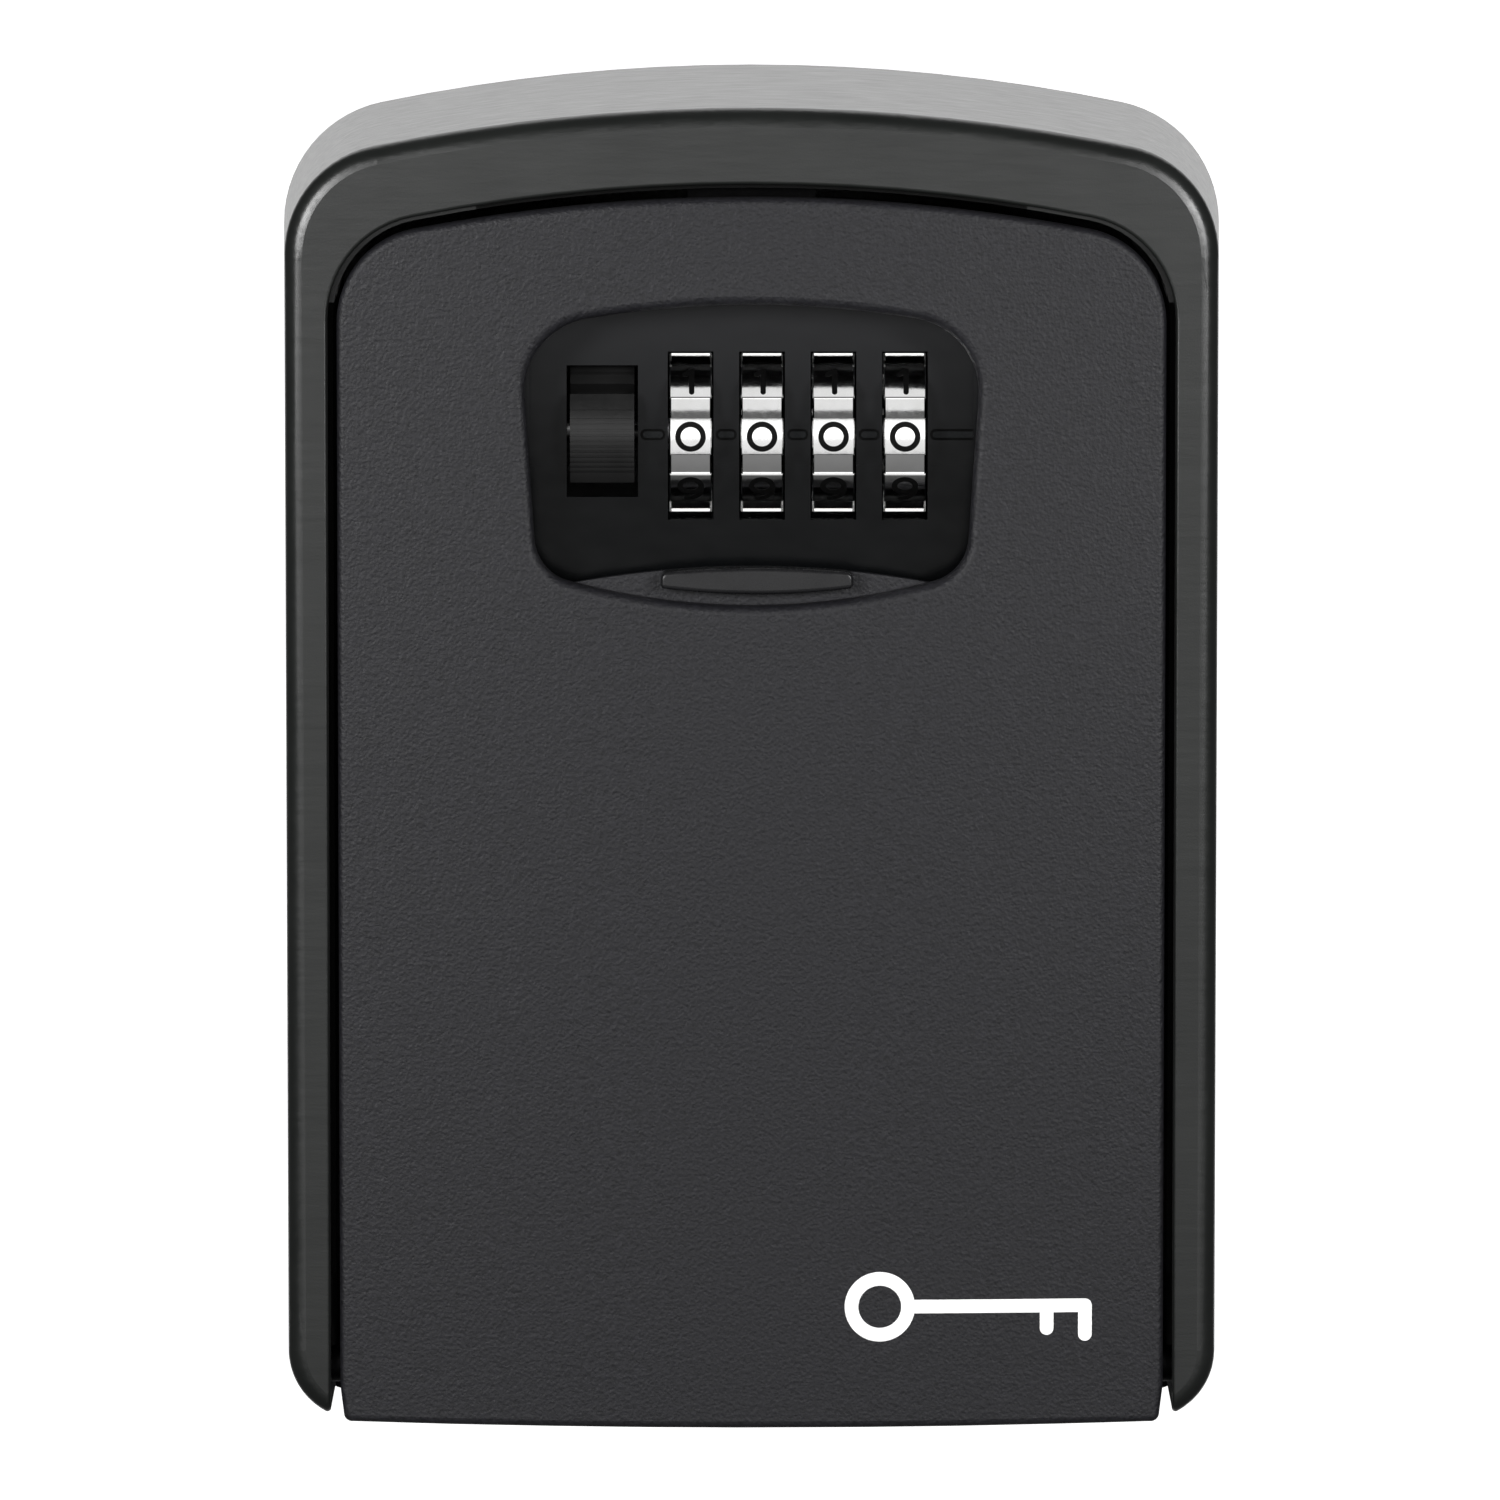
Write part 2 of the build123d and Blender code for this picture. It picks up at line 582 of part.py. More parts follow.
def make_faceplate():
    back = FACE_Y + FACE_THICKNESS
    plate = block(-FACE_HALF_WIDTH, FACE_HALF_WIDTH, FACE_WALL_FRONT_Y, back, FACE_TRAY_BOTTOM, FACE_TOP)
    plate -= block(-FACE_WALL_INNER_X, FACE_WALL_INNER_X, -BIG, FACE_Y,
                   FACE_TRAY_BOTTOM + FACE_WALL, FACE_TOP - FACE_WALL)
    plate += block(-FACE_HALF_WIDTH, FACE_HALF_WIDTH, FACE_WALL_FRONT_Y, FACE_WALL_FRONT_Y + FACE_THICKNESS,
                   FACE_TONGUE_BOTTOM, FACE_TRAY_BOTTOM)
    for index in range(WHEEL_COUNT):
        half = WHEEL_SLOT_WIDTH / 2
        plate -= block(wheel_x(index) - half, wheel_x(index) + half, FACE_Y - 1, back + 1,
                       WHEEL_SLOT_BOTTOM, WHEEL_SLOT_TOP)
    half = LEVER_SLOT_WIDTH / 2
    plate -= block(LEVER_X - half, LEVER_X + half, FACE_Y - 1, back + 1, LEVER_SLOT_BOTTOM, LEVER_SLOT_TOP)
    undercut = [(FACE_Y, LEVER_SLOT_BOTTOM), (back, LEVER_SLOT_BOTTOM - LEVER_SLOT_UNDERCUT),
                (back + 1, LEVER_SLOT_BOTTOM - LEVER_SLOT_UNDERCUT), (back + 1, LEVER_SLOT_BOTTOM + 1),
                (FACE_Y, LEVER_SLOT_BOTTOM + 1)]
    plate -= side_slab(undercut, LEVER_X - half, LEVER_X + half)

    for left, right in index_mark_spans():
        middle = (left + right) / 2
        length = right - left
        inner_length = length - 2 * INDEX_MARK_LINE
        inner_height = INDEX_MARK_HEIGHT - 2 * INDEX_MARK_LINE
        pill = Pos(middle, AXIS_Z) * SlotOverall(length, INDEX_MARK_HEIGHT)
        pill -= Pos(middle, AXIS_Z) * SlotOverall(inner_length, inner_height)
        groove = front_slab(pill, FACE_Y + INDEX_MARK_DEPTH, FACE_Y - 0.5)
        plate -= groove & block(-BIG, FACE_WALL_INNER_X, -BIG, BIG, -BIG, BIG)
    return plate


def make_shutter():
    face = arched_face(SHUTTER_HALF_WIDTH, SHUTTER_TOP, SHUTTER_TOP - SHUTTER_HEIGHT,
                       WINDOW_TOP_RADIUS, SHUTTER_TOP_CORNER, SHUTTER_BOTTOM_CORNER)
    plate = front_slab(face, -BIG / 5, -BIG)
    plate &= crown(SHUTTER_FRONT_INSET)
    plate -= crown(SHUTTER_FRONT_INSET + SHUTTER_THICKNESS)
    return plate


def make_grip():
    """A smooth lip along the shutter's top edge, with round ends and a bowed lower edge."""
    half = GRIP_WIDTH / 2
    low = GRIP_TOP - GRIP_HEIGHT
    end_high = GRIP_TOP - GRIP_END_DROP
    end_low = end_high - GRIP_END_HEIGHT
    edges = [
        ThreePointArc((-half, end_high), (0, GRIP_TOP), (half, end_high)),
        Line((half, end_high), (half, end_low)),
        ThreePointArc((half, end_low), (0, low), (-half, end_low)),
        Line((-half, end_low), (-half, end_high)),
    ]
    face = make_face(edges)
    face = fillet([v for v in face.vertices() if v.Y > end_high - 0.01], GRIP_UPPER_CORNER)
    face = fillet([v for v in face.vertices() if v.Y < end_low + 0.01], GRIP_LOWER_CORNER)
    grip = front_slab(Pos(GRIP_X, 0) * face, -BIG / 5, -BIG)
    grip &= crown(GRIP_FRONT_INSET)
    front = edges_near(grip, lambda c: c.Y < DOOR_CROWN_Y + GRIP_FRONT_INSET + GRIP_EDGE_RADIUS)
    grip = fillet(front, GRIP_EDGE_RADIUS)
    return grip - crown(SHUTTER_FRONT_INSET)


# ---------------------------------------------------------------- combination lock

def make_wheel(index):
    x = wheel_x(index)
    band = WHEEL_RADIUS - WHEEL_BAND_RECESS
    wheel = axle_rod(band, x - WHEEL_BAND_WIDTH / 2, x + WHEEL_BAND_WIDTH / 2)
    wheel -= axle_rod(WHEEL_BORE_RADIUS, x - BIG, x + WEB_NEAR_X)
    wheel -= axle_rod(SLEEVE_HUB_RADIUS + RUNNING_CLEARANCE, x - BIG, x + BIG)
    step = 360.0 / DIGITS
    for digit in range(DIGITS):
        angle = digit * step
        pad = ring_sector(PAD_ROOT_RADIUS, WHEEL_RADIUS, angle - PAD_HALF_ANGLE, angle + PAD_HALF_ANGLE,
                          x - WHEEL_WIDTH / 2, x + WHEEL_WIDTH / 2)
        crest = [edge for edge in pad.edges() if edge.length > 1
                 and math.hypot(edge.center().Y - AXIS_Y, edge.center().Z - AXIS_Z) > WHEEL_RADIUS - 0.3]
        wheel += chamfer(crest, PAD_CHAMFER)
    half = SPLINE_WIDTH / 2 + SPLINE_PLAY
    for digit in range(DIGITS):
        notch = block(x, x + WHEEL_WIDTH, AXIS_Y - half, AXIS_Y + half,
                      AXIS_Z, AXIS_Z + SPLINE_RADIUS + SPLINE_PLAY)
        wheel -= notch.rotate(Axis((0, AXIS_Y, AXIS_Z), (1, 0, 0)), digit * step)
    return wheel


def make_sleeve(index):
    x = wheel_x(index)
    sleeve = axle_rod(SLEEVE_HUB_RADIUS, x + SLEEVE_LEFT_X, x + SLEEVE_RIGHT_X)
    sleeve += axle_rod(GATE_DISC_RADIUS, x + GATE_NEAR_X, x + GATE_FAR_X)
    for tooth in range(DIGITS):
        spline = block(x + SPLINE_NEAR_X, x + SPLINE_FAR_X,
                       AXIS_Y - SPLINE_WIDTH / 2, AXIS_Y + SPLINE_WIDTH / 2,
                       AXIS_Z + SLEEVE_HUB_RADIUS - 0.5, AXIS_Z + SPLINE_RADIUS)
        sleeve += spline.rotate(Axis((0, AXIS_Y, AXIS_Z), (1, 0, 0)), tooth * 360.0 / DIGITS)
    sleeve -= block(x + GATE_NEAR_X - 0.1, x + GATE_FAR_X + 0.1,
                    AXIS_Y - GATE_WIDTH / 2, AXIS_Y + GATE_WIDTH / 2,
                    AXIS_Z + GATE_FLOOR_RADIUS, AXIS_Z + BIG)
    return sleeve - axle_rod(SHAFT_RADIUS + RUNNING_CLEARANCE, x - BIG, x + BIG)


def clip_places():
    """Where the two retaining clips sit, just outside the stack of sleeves."""
    left = wheel_x(0) + SLEEVE_LEFT_X - CLIP_GAP - CLIP_THICKNESS
    right = wheel_x(WHEEL_COUNT - 1) + SLEEVE_RIGHT_X + CLIP_GAP
    return left, right


def make_shaft():
    shaft = axle_rod(SHAFT_RADIUS, SHAFT_LEFT_X, SHAFT_RIGHT_X)
    shaft = chamfer(shaft.edges().filter_by(GeomType.CIRCLE), SHAFT_CHAMFER)
    shaft += axle_rod(COLLAR_RADIUS, COLLAR_X, COLLAR_X + COLLAR_THICKNESS)
    for left in clip_places():
        groove = axle_rod(SHAFT_RADIUS + 1, left, left + CLIP_THICKNESS)
        shaft -= groove - axle_rod(CLIP_GROOVE_RADIUS, left - 1, left + 2)
    return shaft


def make_clips():
    clips = []
    for left in clip_places():
        ring = axle_rod(CLIP_RADIUS, left + CLIP_PLAY, left + CLIP_THICKNESS - CLIP_PLAY)
        ring -= axle_rod(CLIP_GROOVE_RADIUS + RUNNING_CLEARANCE, left - 1, left + 2)
        mouth = block(left - 1, left + 2, AXIS_Y - CLIP_MOUTH / 2, AXIS_Y + CLIP_MOUTH / 2,
                      AXIS_Z - BIG, AXIS_Z)
        clips.append((ring - mouth).solid())
    return Compound(children=clips)


def spring(radius, wire, pitch, height, place):
    """A coil spring along +Z, standing at its place."""
    path = Helix(pitch=pitch, height=height, radius=radius)
    section = Plane(origin=path @ 0, z_dir=path % 0) * Circle(wire)
    return place * sweep(section, path=path)


def detent_screw_places():
    """The two places where the detent spring is screwed down, between wheels."""
    return [wheel_x(index) + WHEEL_PITCH / 2 for index in (0, 2)]


def make_detent_spring():
    """A strip on the floor of the case, with a springy finger under each number wheel."""
    floor = CASE_BOTTOM + CASE_WALL
    left = wheel_x(0) - DETENT_LEAF_OVERHANG
    right = wheel_x(WHEEL_COUNT - 1) + DETENT_LEAF_OVERHANG
    leaf = block(left, right, DETENT_LEAF_FRONT_Y, DETENT_LEAF_BACK_Y, floor, floor + DETENT_SHEET)
    root = DETENT_LEAF_FRONT_Y
    tip = DETENT_FINGER_FRONT_Y
    tip_z = AXIS_Z - WHEEL_RADIUS - DETENT_GAP
    finger = [
        (root + 0.3, floor), (root + 0.3, floor + DETENT_SHEET), (tip + 0.8, tip_z), (tip, tip_z - 0.5),
        (tip + 0.3, tip_z - 0.8), (tip + 1.0, tip_z - DETENT_SHEET), (root - 0.1, floor),
    ]
    for index in range(WHEEL_COUNT):
        leaf += side_slab(finger, wheel_x(index) - DETENT_FINGER_HALF_WIDTH,
                          wheel_x(index) + DETENT_FINGER_HALF_WIDTH)
    for x in detent_screw_places():
        leaf -= Pos(x, DETENT_SCREW_Y, floor) * Cylinder(DETENT_SCREW_RADIUS + RUNNING_CLEARANCE, 4)
    return leaf


def make_detent_screws():
    seat = CASE_BOTTOM + CASE_WALL + DETENT_SHEET
    screws = []
    for x in detent_screw_places():
        stem = Pos(x, DETENT_SCREW_Y, seat - DETENT_SCREW_LENGTH / 2)
        head = Pos(x, DETENT_SCREW_Y, seat + DETENT_HEAD_HEIGHT / 2)
        screw = stem * Cylinder(DETENT_SCREW_RADIUS, DETENT_SCREW_LENGTH)
        screw += head * Cylinder(DETENT_HEAD_RADIUS, DETENT_HEAD_HEIGHT)
        screws.append(screw.solid())
    return Compound(children=screws)


# ---------------------------------------------------------------- release lever and latch

def make_release_lever():
    """A thumb lever that turns on the wheels' shaft: a ridged pad in front, with an apron above it."""
    left = LEVER_X - LEVER_WIDTH / 2
    right = LEVER_X + LEVER_WIDTH / 2
    crest = LEVER_RADIUS
    lever = ring_sector(LEVER_INNER_RADIUS, crest, LEVER_LOW_ANGLE, LEVER_HIGH_ANGLE, left, right)
    lever += axle_rod(LEVER_HUB_RADIUS, left, right)
    # The apron above the pad lies lower, with a valley between them and two ribs on it.
    lever -= ring_sector(crest - APRON_DEPTH, BIG / 10, APRON_ANGLE, LEVER_HIGH_ANGLE + 1,
                         left - 1, right + 1)
    lever -= ring_sector(crest - VALLEY_DEPTH, BIG / 10, APRON_ANGLE, APRON_RIBS[0][0],
                         left - 1, right + 1)
    for low, high in APRON_RIBS:
        lever += ring_sector(crest - APRON_DEPTH - 0.5, crest - APRON_RIB_DEPTH, low, high, left, right)
    # Ridges across the pad, between a plain band above and a plain foot below.
    lever -= ring_sector(crest - RIDGE_DEPTH, BIG / 10, LEVER_LOW_ANGLE + FOOT_ANGLE, BAND_ANGLE,
                         left - 1, right + 1)
    for ridge in range(LEVER_RIDGE_COUNT):
        angle = LEVER_RIDGE_START + ridge * LEVER_RIDGE_PITCH
        lever += ring_sector(crest - 2 * RIDGE_DEPTH, crest,
                             angle - RIDGE_HALF_ANGLE, angle + RIDGE_HALF_ANGLE, left, right)
    lever -= axle_rod(SHAFT_RADIUS + RUNNING_CLEARANCE, left - 1, right + 1)
    # A pin on the right side moves the latch plate. Its web reaches forward from the hub.
    pin_y = AXIS_Y - LEVER_PIN_REACH
    lever += rod(LEVER_PIN_RADIUS, right - 0.5, right + LEVER_PIN_LENGTH, pin_y, AXIS_Z)
    return lever


def make_latch_plate():
    """Tip, riser, shelf over the wheels, fence tabs, and a leg down to the lever's pin."""
    back = LATCH_RISER_FRONT_Y + LATCH_RISER_THICKNESS
    half = LATCH_TIP_WIDTH / 2
    shelf_top = LATCH_SHELF_Z + LATCH_SHELF_THICKNESS
    tip = block(-half, half, LATCH_RISER_FRONT_Y, back, LATCH_SHELF_Z, LATCH_TIP_Z)
    tip_back = edges_near(tip, lambda c: c.Z > LATCH_TIP_Z - 0.1 and c.Y > back - 0.1)
    plate = chamfer(tip_back, LATCH_TIP_CHAMFER)
    plate += block(LEG_LEFT_X, LATCH_SHELF_RIGHT_X, LATCH_RISER_FRONT_Y, LATCH_SHELF_BACK_Y,
                   LATCH_SHELF_Z, shelf_top)
    tab_low = AXIS_Z + GATE_DISC_RADIUS + FENCE_TAB_GAP
    for index in range(WHEEL_COUNT):
        x = wheel_x(index) + (GATE_NEAR_X + GATE_FAR_X) / 2
        plate += block(x - FENCE_TAB_WIDTH / 2, x + FENCE_TAB_WIDTH / 2, AXIS_Y - FENCE_TAB_DEPTH / 2,
                       AXIS_Y + FENCE_TAB_DEPTH / 2, tab_low, LATCH_SHELF_Z)
    leg = block(LEG_LEFT_X, LEG_LEFT_X + LEG_THICKNESS, LATCH_RISER_FRONT_Y, LEG_BACK_Y,
                AXIS_Z - LEG_FOOT_DROP, LATCH_SHELF_Z)
    slot_half = LEVER_PIN_RADIUS + LEG_SLOT_PLAY
    slot = block(-BIG, 0, -BIG, LEG_BACK_Y - LEG_SLOT_WALL, AXIS_Z - slot_half, AXIS_Z + slot_half)
    return plate + (leg - slot)


# ---------------------------------------------------------------- case, cover and code change

def make_lock_case():
    front = FACE_Y + FACE_THICKNESS
    case = block(-CASE_HALF_WIDTH, CASE_HALF_WIDTH, front, CASE_BACK_Y, CASE_BOTTOM, CASE_TOP)
    case -= block(-CASE_HALF_WIDTH + CASE_WALL, CASE_HALF_WIDTH - CASE_WALL, -BIG, BIG,
                  CASE_BOTTOM + CASE_WALL, CASE_TOP - CASE_WALL)
    for x, z in corner_screws():
        ends = (x, math.copysign(CASE_HALF_WIDTH, x))
        case += screw_rod(COVER_BOSS_RADIUS, CASE_BACK_Y, CASE_BACK_Y - COVER_BOSS_LENGTH, x, z)
        case += block(min(ends), max(ends), CASE_BACK_Y - COVER_BOSS_LENGTH, CASE_BACK_Y,
                      z - COVER_BOSS_RADIUS, z + COVER_BOSS_RADIUS)
    for x, z in case_screws():
        ends = (math.copysign(CASE_HALF_WIDTH, x), x + math.copysign(EAR_REACH, x))
        case += block(min(ends), max(ends), front, front + EAR_THICKNESS,
                      z - EAR_HALF_HEIGHT, z + EAR_HALF_HEIGHT)
    # A rail outside the right wall guides the reset lever.
    case += block(CASE_HALF_WIDTH, RAIL_OUTER_X, front, front + EAR_THICKNESS, RAIL_BOTTOM, RAIL_TOP)
    case += block(RAIL_INNER_X, RAIL_OUTER_X, front, RESET_BACK_Y, RAIL_BOTTOM, RAIL_TOP)
    for x, z in case_screws():
        case -= screw_rod(SCREW_RADIUS + SCREW_HOLE_PLAY, 0, -BIG, x, z)
    for x, z in corner_screws():
        case -= screw_rod(SCREW_RADIUS, 0, CASE_BACK_Y - COVER_BOSS_LENGTH + 1, x, z)
    case -= axle_rod(SHAFT_RADIUS + RUNNING_CLEARANCE, -BIG, BIG)
    # The latch riser comes out through the roof.
    half = LATCH_TIP_WIDTH / 2 + 0.5
    back = LATCH_RISER_FRONT_Y + LATCH_RISER_THICKNESS + 0.5
    case -= block(-half, half, -BIG, back, CASE_TOP - CASE_WALL - 1, CASE_TOP + 1)
    # A post under the latch spring.
    post_height = LATCH_SPRING_FOOT - CASE_BOTTOM
    post = Pos(LATCH_SPRING_X, LATCH_SPRING_Y, CASE_BOTTOM + post_height / 2)
    case += post * Cylinder(LATCH_SPRING_POST_RADIUS, post_height)
    hole_depth = 2 * (DETENT_SCREW_LENGTH - DETENT_SHEET) + 0.2
    for x in detent_screw_places():
        case -= Pos(x, DETENT_SCREW_Y, CASE_BOTTOM + CASE_WALL) * Cylinder(DETENT_SCREW_RADIUS, hole_depth)
    return case


def make_cover():
    cover = block(-CASE_HALF_WIDTH, CASE_HALF_WIDTH, CASE_BACK_Y, CASE_BACK_Y + COVER_THICKNESS,
                  CASE_BOTTOM, CASE_TOP)
    cover = fillet(cover.edges().filter_by(Axis.Y), COVER_CORNER)
    back = CASE_BACK_Y + COVER_THICKNESS
    panel = block(-COVER_PANEL_HALF_WIDTH, COVER_PANEL_HALF_WIDTH, back, back + COVER_PANEL_HEIGHT,
                  CASE_BOTTOM + COVER_PANEL_INSET, CASE_TOP - COVER_PANEL_INSET)
    cover += fillet(panel.edges().filter_by(Axis.Y), COVER_PANEL_CORNER)
    for x, z in corner_screws():
        cover -= screw_rod(SCREW_RADIUS + SCREW_HOLE_PLAY, 0, CASE_BACK_Y - 1, x, z)
    return cover


def pan_screw(x, z, seat_y, length):
    """A pan-head screw that points out of the wall, with a cross recess."""
    stem = screw_rod(SCREW_RADIUS - SCREW_THREAD_PLAY, seat_y, seat_y - length, x, z)
    head = screw_rod(SCREW_HEAD_RADIUS, seat_y + SCREW_HEAD_HEIGHT, seat_y, x, z)
    head = fillet(head.edges().sort_by(Axis.Y)[-1], SCREW_HEAD_EDGE)
    reach = SCREW_CROSS_REACH
    half = SCREW_CROSS_WIDTH / 2
    floor = seat_y + SCREW_CROSS_FLOOR
    cross = block(x - reach, x + reach, floor, floor + 2, z - half, z + half)
    cross += block(x - half, x + half, floor, floor + 2, z - reach, z + reach)
    return (stem + head - cross).solid()


def make_cover_screws():
    seat = CASE_BACK_Y + COVER_THICKNESS
    return Compound(children=[pan_screw(x, z, seat, COVER_SCREW_LENGTH) for x, z in corner_screws()])


def make_case_screws():
    seat = FACE_Y + FACE_THICKNESS + EAR_THICKNESS
    return Compound(children=[pan_screw(x, z, seat, CASE_SCREW_LENGTH) for x, z in case_screws()])


def make_reset_lever():
    """A wedge beside the case. Raising it pushes the shaft to the left."""
    low = AXIS_Z - RESET_TRAVEL
    deep_x = RESET_FACE_X - SHAFT_SHIFT
    shallow_x = RESET_FACE_X + RESET_SLOPE_RISE * RESET_SLOPE
    outline = [
        (RESET_OUTER_X, RESET_BOTTOM), (RESET_OUTER_X, RESET_TOP), (shallow_x, RESET_TOP),
        (shallow_x, AXIS_Z + RESET_SLOPE_RISE), (deep_x, low), (deep_x, RESET_BOTTOM),
    ]
    wedge = front_slab(make_face(Polyline(*outline, close=True)), RESET_BACK_Y, RESET_FRONT_Y)
    tab = block(shallow_x, RESET_OUTER_X, RESET_BACK_Y, RESET_TAB_BACK_Y, RESET_TAB_BOTTOM, RESET_TAB_TOP)
    tab = fillet(tab.edges().filter_by(Axis.X).sort_by(Axis.Y)[-2:], RESET_TAB_CORNER)
    return wedge + tab


# ---------------------------------------------------------------- build

os.makedirs("parts", exist_ok=True)

save(make_housing(), "housing")
save(make_liner(), "compartment_liner")
save(make_hinge_pin(-1), "hinge_pin_left")
save(make_hinge_pin(1), "hinge_pin_right")
save(make_door_shell(), "door_shell")
save(make_faceplate(), "dial_faceplate")
save(make_shutter(), "shutter")
save(make_grip(), "shutter_grip")
for number in range(WHEEL_COUNT):
    save(make_wheel(number), "wheel_" + str(number + 1))
    save(make_sleeve(number), "code_sleeve_" + str(number + 1))
save(make_shaft(), "wheel_shaft")
save(make_clips(), "shaft_clips")
shaft_spring_place = Pos(-CASE_HALF_WIDTH + CASE_WALL + SHAFT_SPRING_GAP, AXIS_Y, AXIS_Z) * Rot(0, 90, 0)
save(spring(SHAFT_SPRING_RADIUS, SHAFT_SPRING_WIRE, SHAFT_SPRING_PITCH, SHAFT_SPRING_LENGTH,
            shaft_spring_place), "shaft_spring")
save(make_detent_spring(), "detent_spring")
save(make_detent_screws(), "detent_screws")
save(make_release_lever(), "release_lever")
save(make_latch_plate(), "latch_plate")
latch_spring_place = Pos(LATCH_SPRING_X, LATCH_SPRING_Y, LATCH_SPRING_FOOT + LATCH_SPRING_GAP)
latch_spring_length = LATCH_SHELF_Z - LATCH_SPRING_FOOT - 2 * LATCH_SPRING_GAP
save(spring(LATCH_SPRING_RADIUS, LATCH_SPRING_WIRE, LATCH_SPRING_PITCH, latch_spring_length,
            latch_spring_place), "latch_spring")
save(make_lock_case(), "lock_case")
save(make_cover(), "mechanism_cover")
save(make_cover_screws(), "cover_screws")
save(make_case_screws(), "case_screws")
save(make_reset_lever(), "reset_lever")
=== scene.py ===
import math

import bpy
from mathutils import Euler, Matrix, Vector


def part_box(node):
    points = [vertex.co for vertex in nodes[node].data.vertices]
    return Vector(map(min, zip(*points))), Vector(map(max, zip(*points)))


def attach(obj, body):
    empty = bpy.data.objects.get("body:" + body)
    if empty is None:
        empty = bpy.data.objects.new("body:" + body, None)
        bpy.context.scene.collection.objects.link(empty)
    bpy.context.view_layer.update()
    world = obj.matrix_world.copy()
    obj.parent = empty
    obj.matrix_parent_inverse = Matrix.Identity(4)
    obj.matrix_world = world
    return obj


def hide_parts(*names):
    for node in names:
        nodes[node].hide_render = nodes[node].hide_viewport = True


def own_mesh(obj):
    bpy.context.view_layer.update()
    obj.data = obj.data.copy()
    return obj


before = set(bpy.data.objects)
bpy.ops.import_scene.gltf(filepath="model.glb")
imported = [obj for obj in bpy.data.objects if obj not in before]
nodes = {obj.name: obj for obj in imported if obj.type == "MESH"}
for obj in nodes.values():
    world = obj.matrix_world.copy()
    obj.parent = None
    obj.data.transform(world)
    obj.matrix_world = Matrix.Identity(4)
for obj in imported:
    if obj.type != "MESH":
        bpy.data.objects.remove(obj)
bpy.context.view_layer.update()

MM = 0.001

# ---- camera: in front of the box, a little above it ----

CAMERA_PLACE = (-0.000165, -1.5017, 0.1705)     # m
CAMERA_PITCH = 6.644            # degrees downwards
CAMERA_LENS = 321.6             # mm, on a 36 mm sensor

# ---- wheels, door front and key sign: sizes as in the CAD, in mm ----

WHEEL_COUNT = 4
WHEEL_X = -6.65
WHEEL_PITCH = 7.8
WHEEL_AXIS = (-36.1, 35.35)     # y and z
WHEEL_RADIUS = 10.1
DIGIT_STROKE = 0.6
DIGIT_SINK = 0.06
DIGIT_PROUD = 0.015
DIGIT_CELL = 0.09

DOOR_CROWN_Y = -51.0
DOOR_CROWN_RADIUS = 506.0
KEY_LEFT_X = 10.2
KEY_RIGHT_X = 37.3
KEY_MIDDLE_Z = -59.9
KEY_CELL = 0.2
KEY_PROUD = 0.03
KEY_SINK = 0.05

MOUTH_FRONT_Y = -48.5           # the housing's inside, behind its rim and in front of its back
MOUTH_BACK_Y = -5.0
MOUTH_BOXES = ((46.3, 50.0), (30.0, 67.0))      # half width and top of the parts that it is made of
# painted shade: the near-black colour of the housing's inside, behind the door
MOUTH_PAINTED_SHADE = (0.001, 0.001, 0.001, 1.0)

FACE_Y = -43.6
FACE_PAINTED_LIGHT_LOW = 30.0            # z where the faceplate's colour starts to lighten as a painted reflection, and where it is lightest
FACE_PAINTED_LIGHT_HIGH = 52.0
SLOT_HALF_WIDTH = 2.5
LEVER_SLOT_RIGHT_X = -12.4
FACE_RIGHT_X = 24.2
MARK_HEIGHT = 1.25
MARK_LINE = 0.28
MARK_GAP = 0.25
MARK_CELL = 0.07
MARK_STEPS = 12                 # straight pieces in each round end
MARK_SINK = 0.2
MARK_LINE_PROUD = 0.01
MARK_BAR_PROUD = 0.012
MARK_END_GAP = 0.02


# ---- materials ----

def node_tree(name):
    """A new material's nodes and links, with its Principled shader."""
    made = bpy.data.materials.new(name)
    made.use_nodes = True
    tree = made.node_tree
    return made, tree, tree.nodes["Principled BSDF"]


def object_mm(tree, stretch=(1.0, 1.0, 1.0)):
    """The object's own coordinates in mm, with each axis scaled."""
    place = tree.nodes.new("ShaderNodeTexCoord")
    scaled = tree.nodes.new("ShaderNodeMapping")
    scaled.inputs["Scale"].default_value = [s / MM for s in stretch]
    tree.links.new(place.outputs["Object"], scaled.inputs["Vector"])
    return scaled.outputs["Vector"]


def noise(tree, where, scale, detail=2.0, roughness=0.5, distortion=0.0):
    """Noise of that many features for each mm."""
    made = tree.nodes.new("ShaderNodeTexNoise")
    made.inputs["Scale"].default_value = scale
    made.inputs["Detail"].default_value = detail
    made.inputs["Roughness"].default_value = roughness
    made.inputs["Distortion"].default_value = distortion
    tree.links.new(where, made.inputs["Vector"])
    return made.outputs["Fac"]


def cells(tree, where, scale, smoothness=0.5):
    """Distance to the nearest of scattered points: rounded pebbles."""
    made = tree.nodes.new("ShaderNodeTexVoronoi")
    made.feature = "SMOOTH_F1"
    made.inputs["Scale"].default_value = scale
    made.inputs["Smoothness"].default_value = smoothness
    tree.links.new(where, made.inputs["Vector"])
    return made.outputs["Distance"]


def spread(tree, value, low, high, start=0.3, end=0.7):
    """value from start to end becomes low to high."""
    made = tree.nodes.new("ShaderNodeMapRange")
    made.inputs["From Min"].default_value = start
    made.inputs["From Max"].default_value = end
    made.inputs["To Min"].default_value = low
    made.inputs["To Max"].default_value = high
    tree.links.new(value, made.inputs["Value"])
    return made.outputs["Result"]


def between(tree, value, colour_a, colour_b, start=0.3, end=0.7):
    """A colour between two, as value goes from start to end."""
    ramp = tree.nodes.new("ShaderNodeValToRGB")
    ramp.color_ramp.elements[0].position = start
    ramp.color_ramp.elements[1].position = end
    ramp.color_ramp.elements[0].color = (*colour_a, 1.0)
    ramp.color_ramp.elements[1].color = (*colour_b, 1.0)
    tree.links.new(value, ramp.inputs["Fac"])
    return ramp.outputs["Color"]


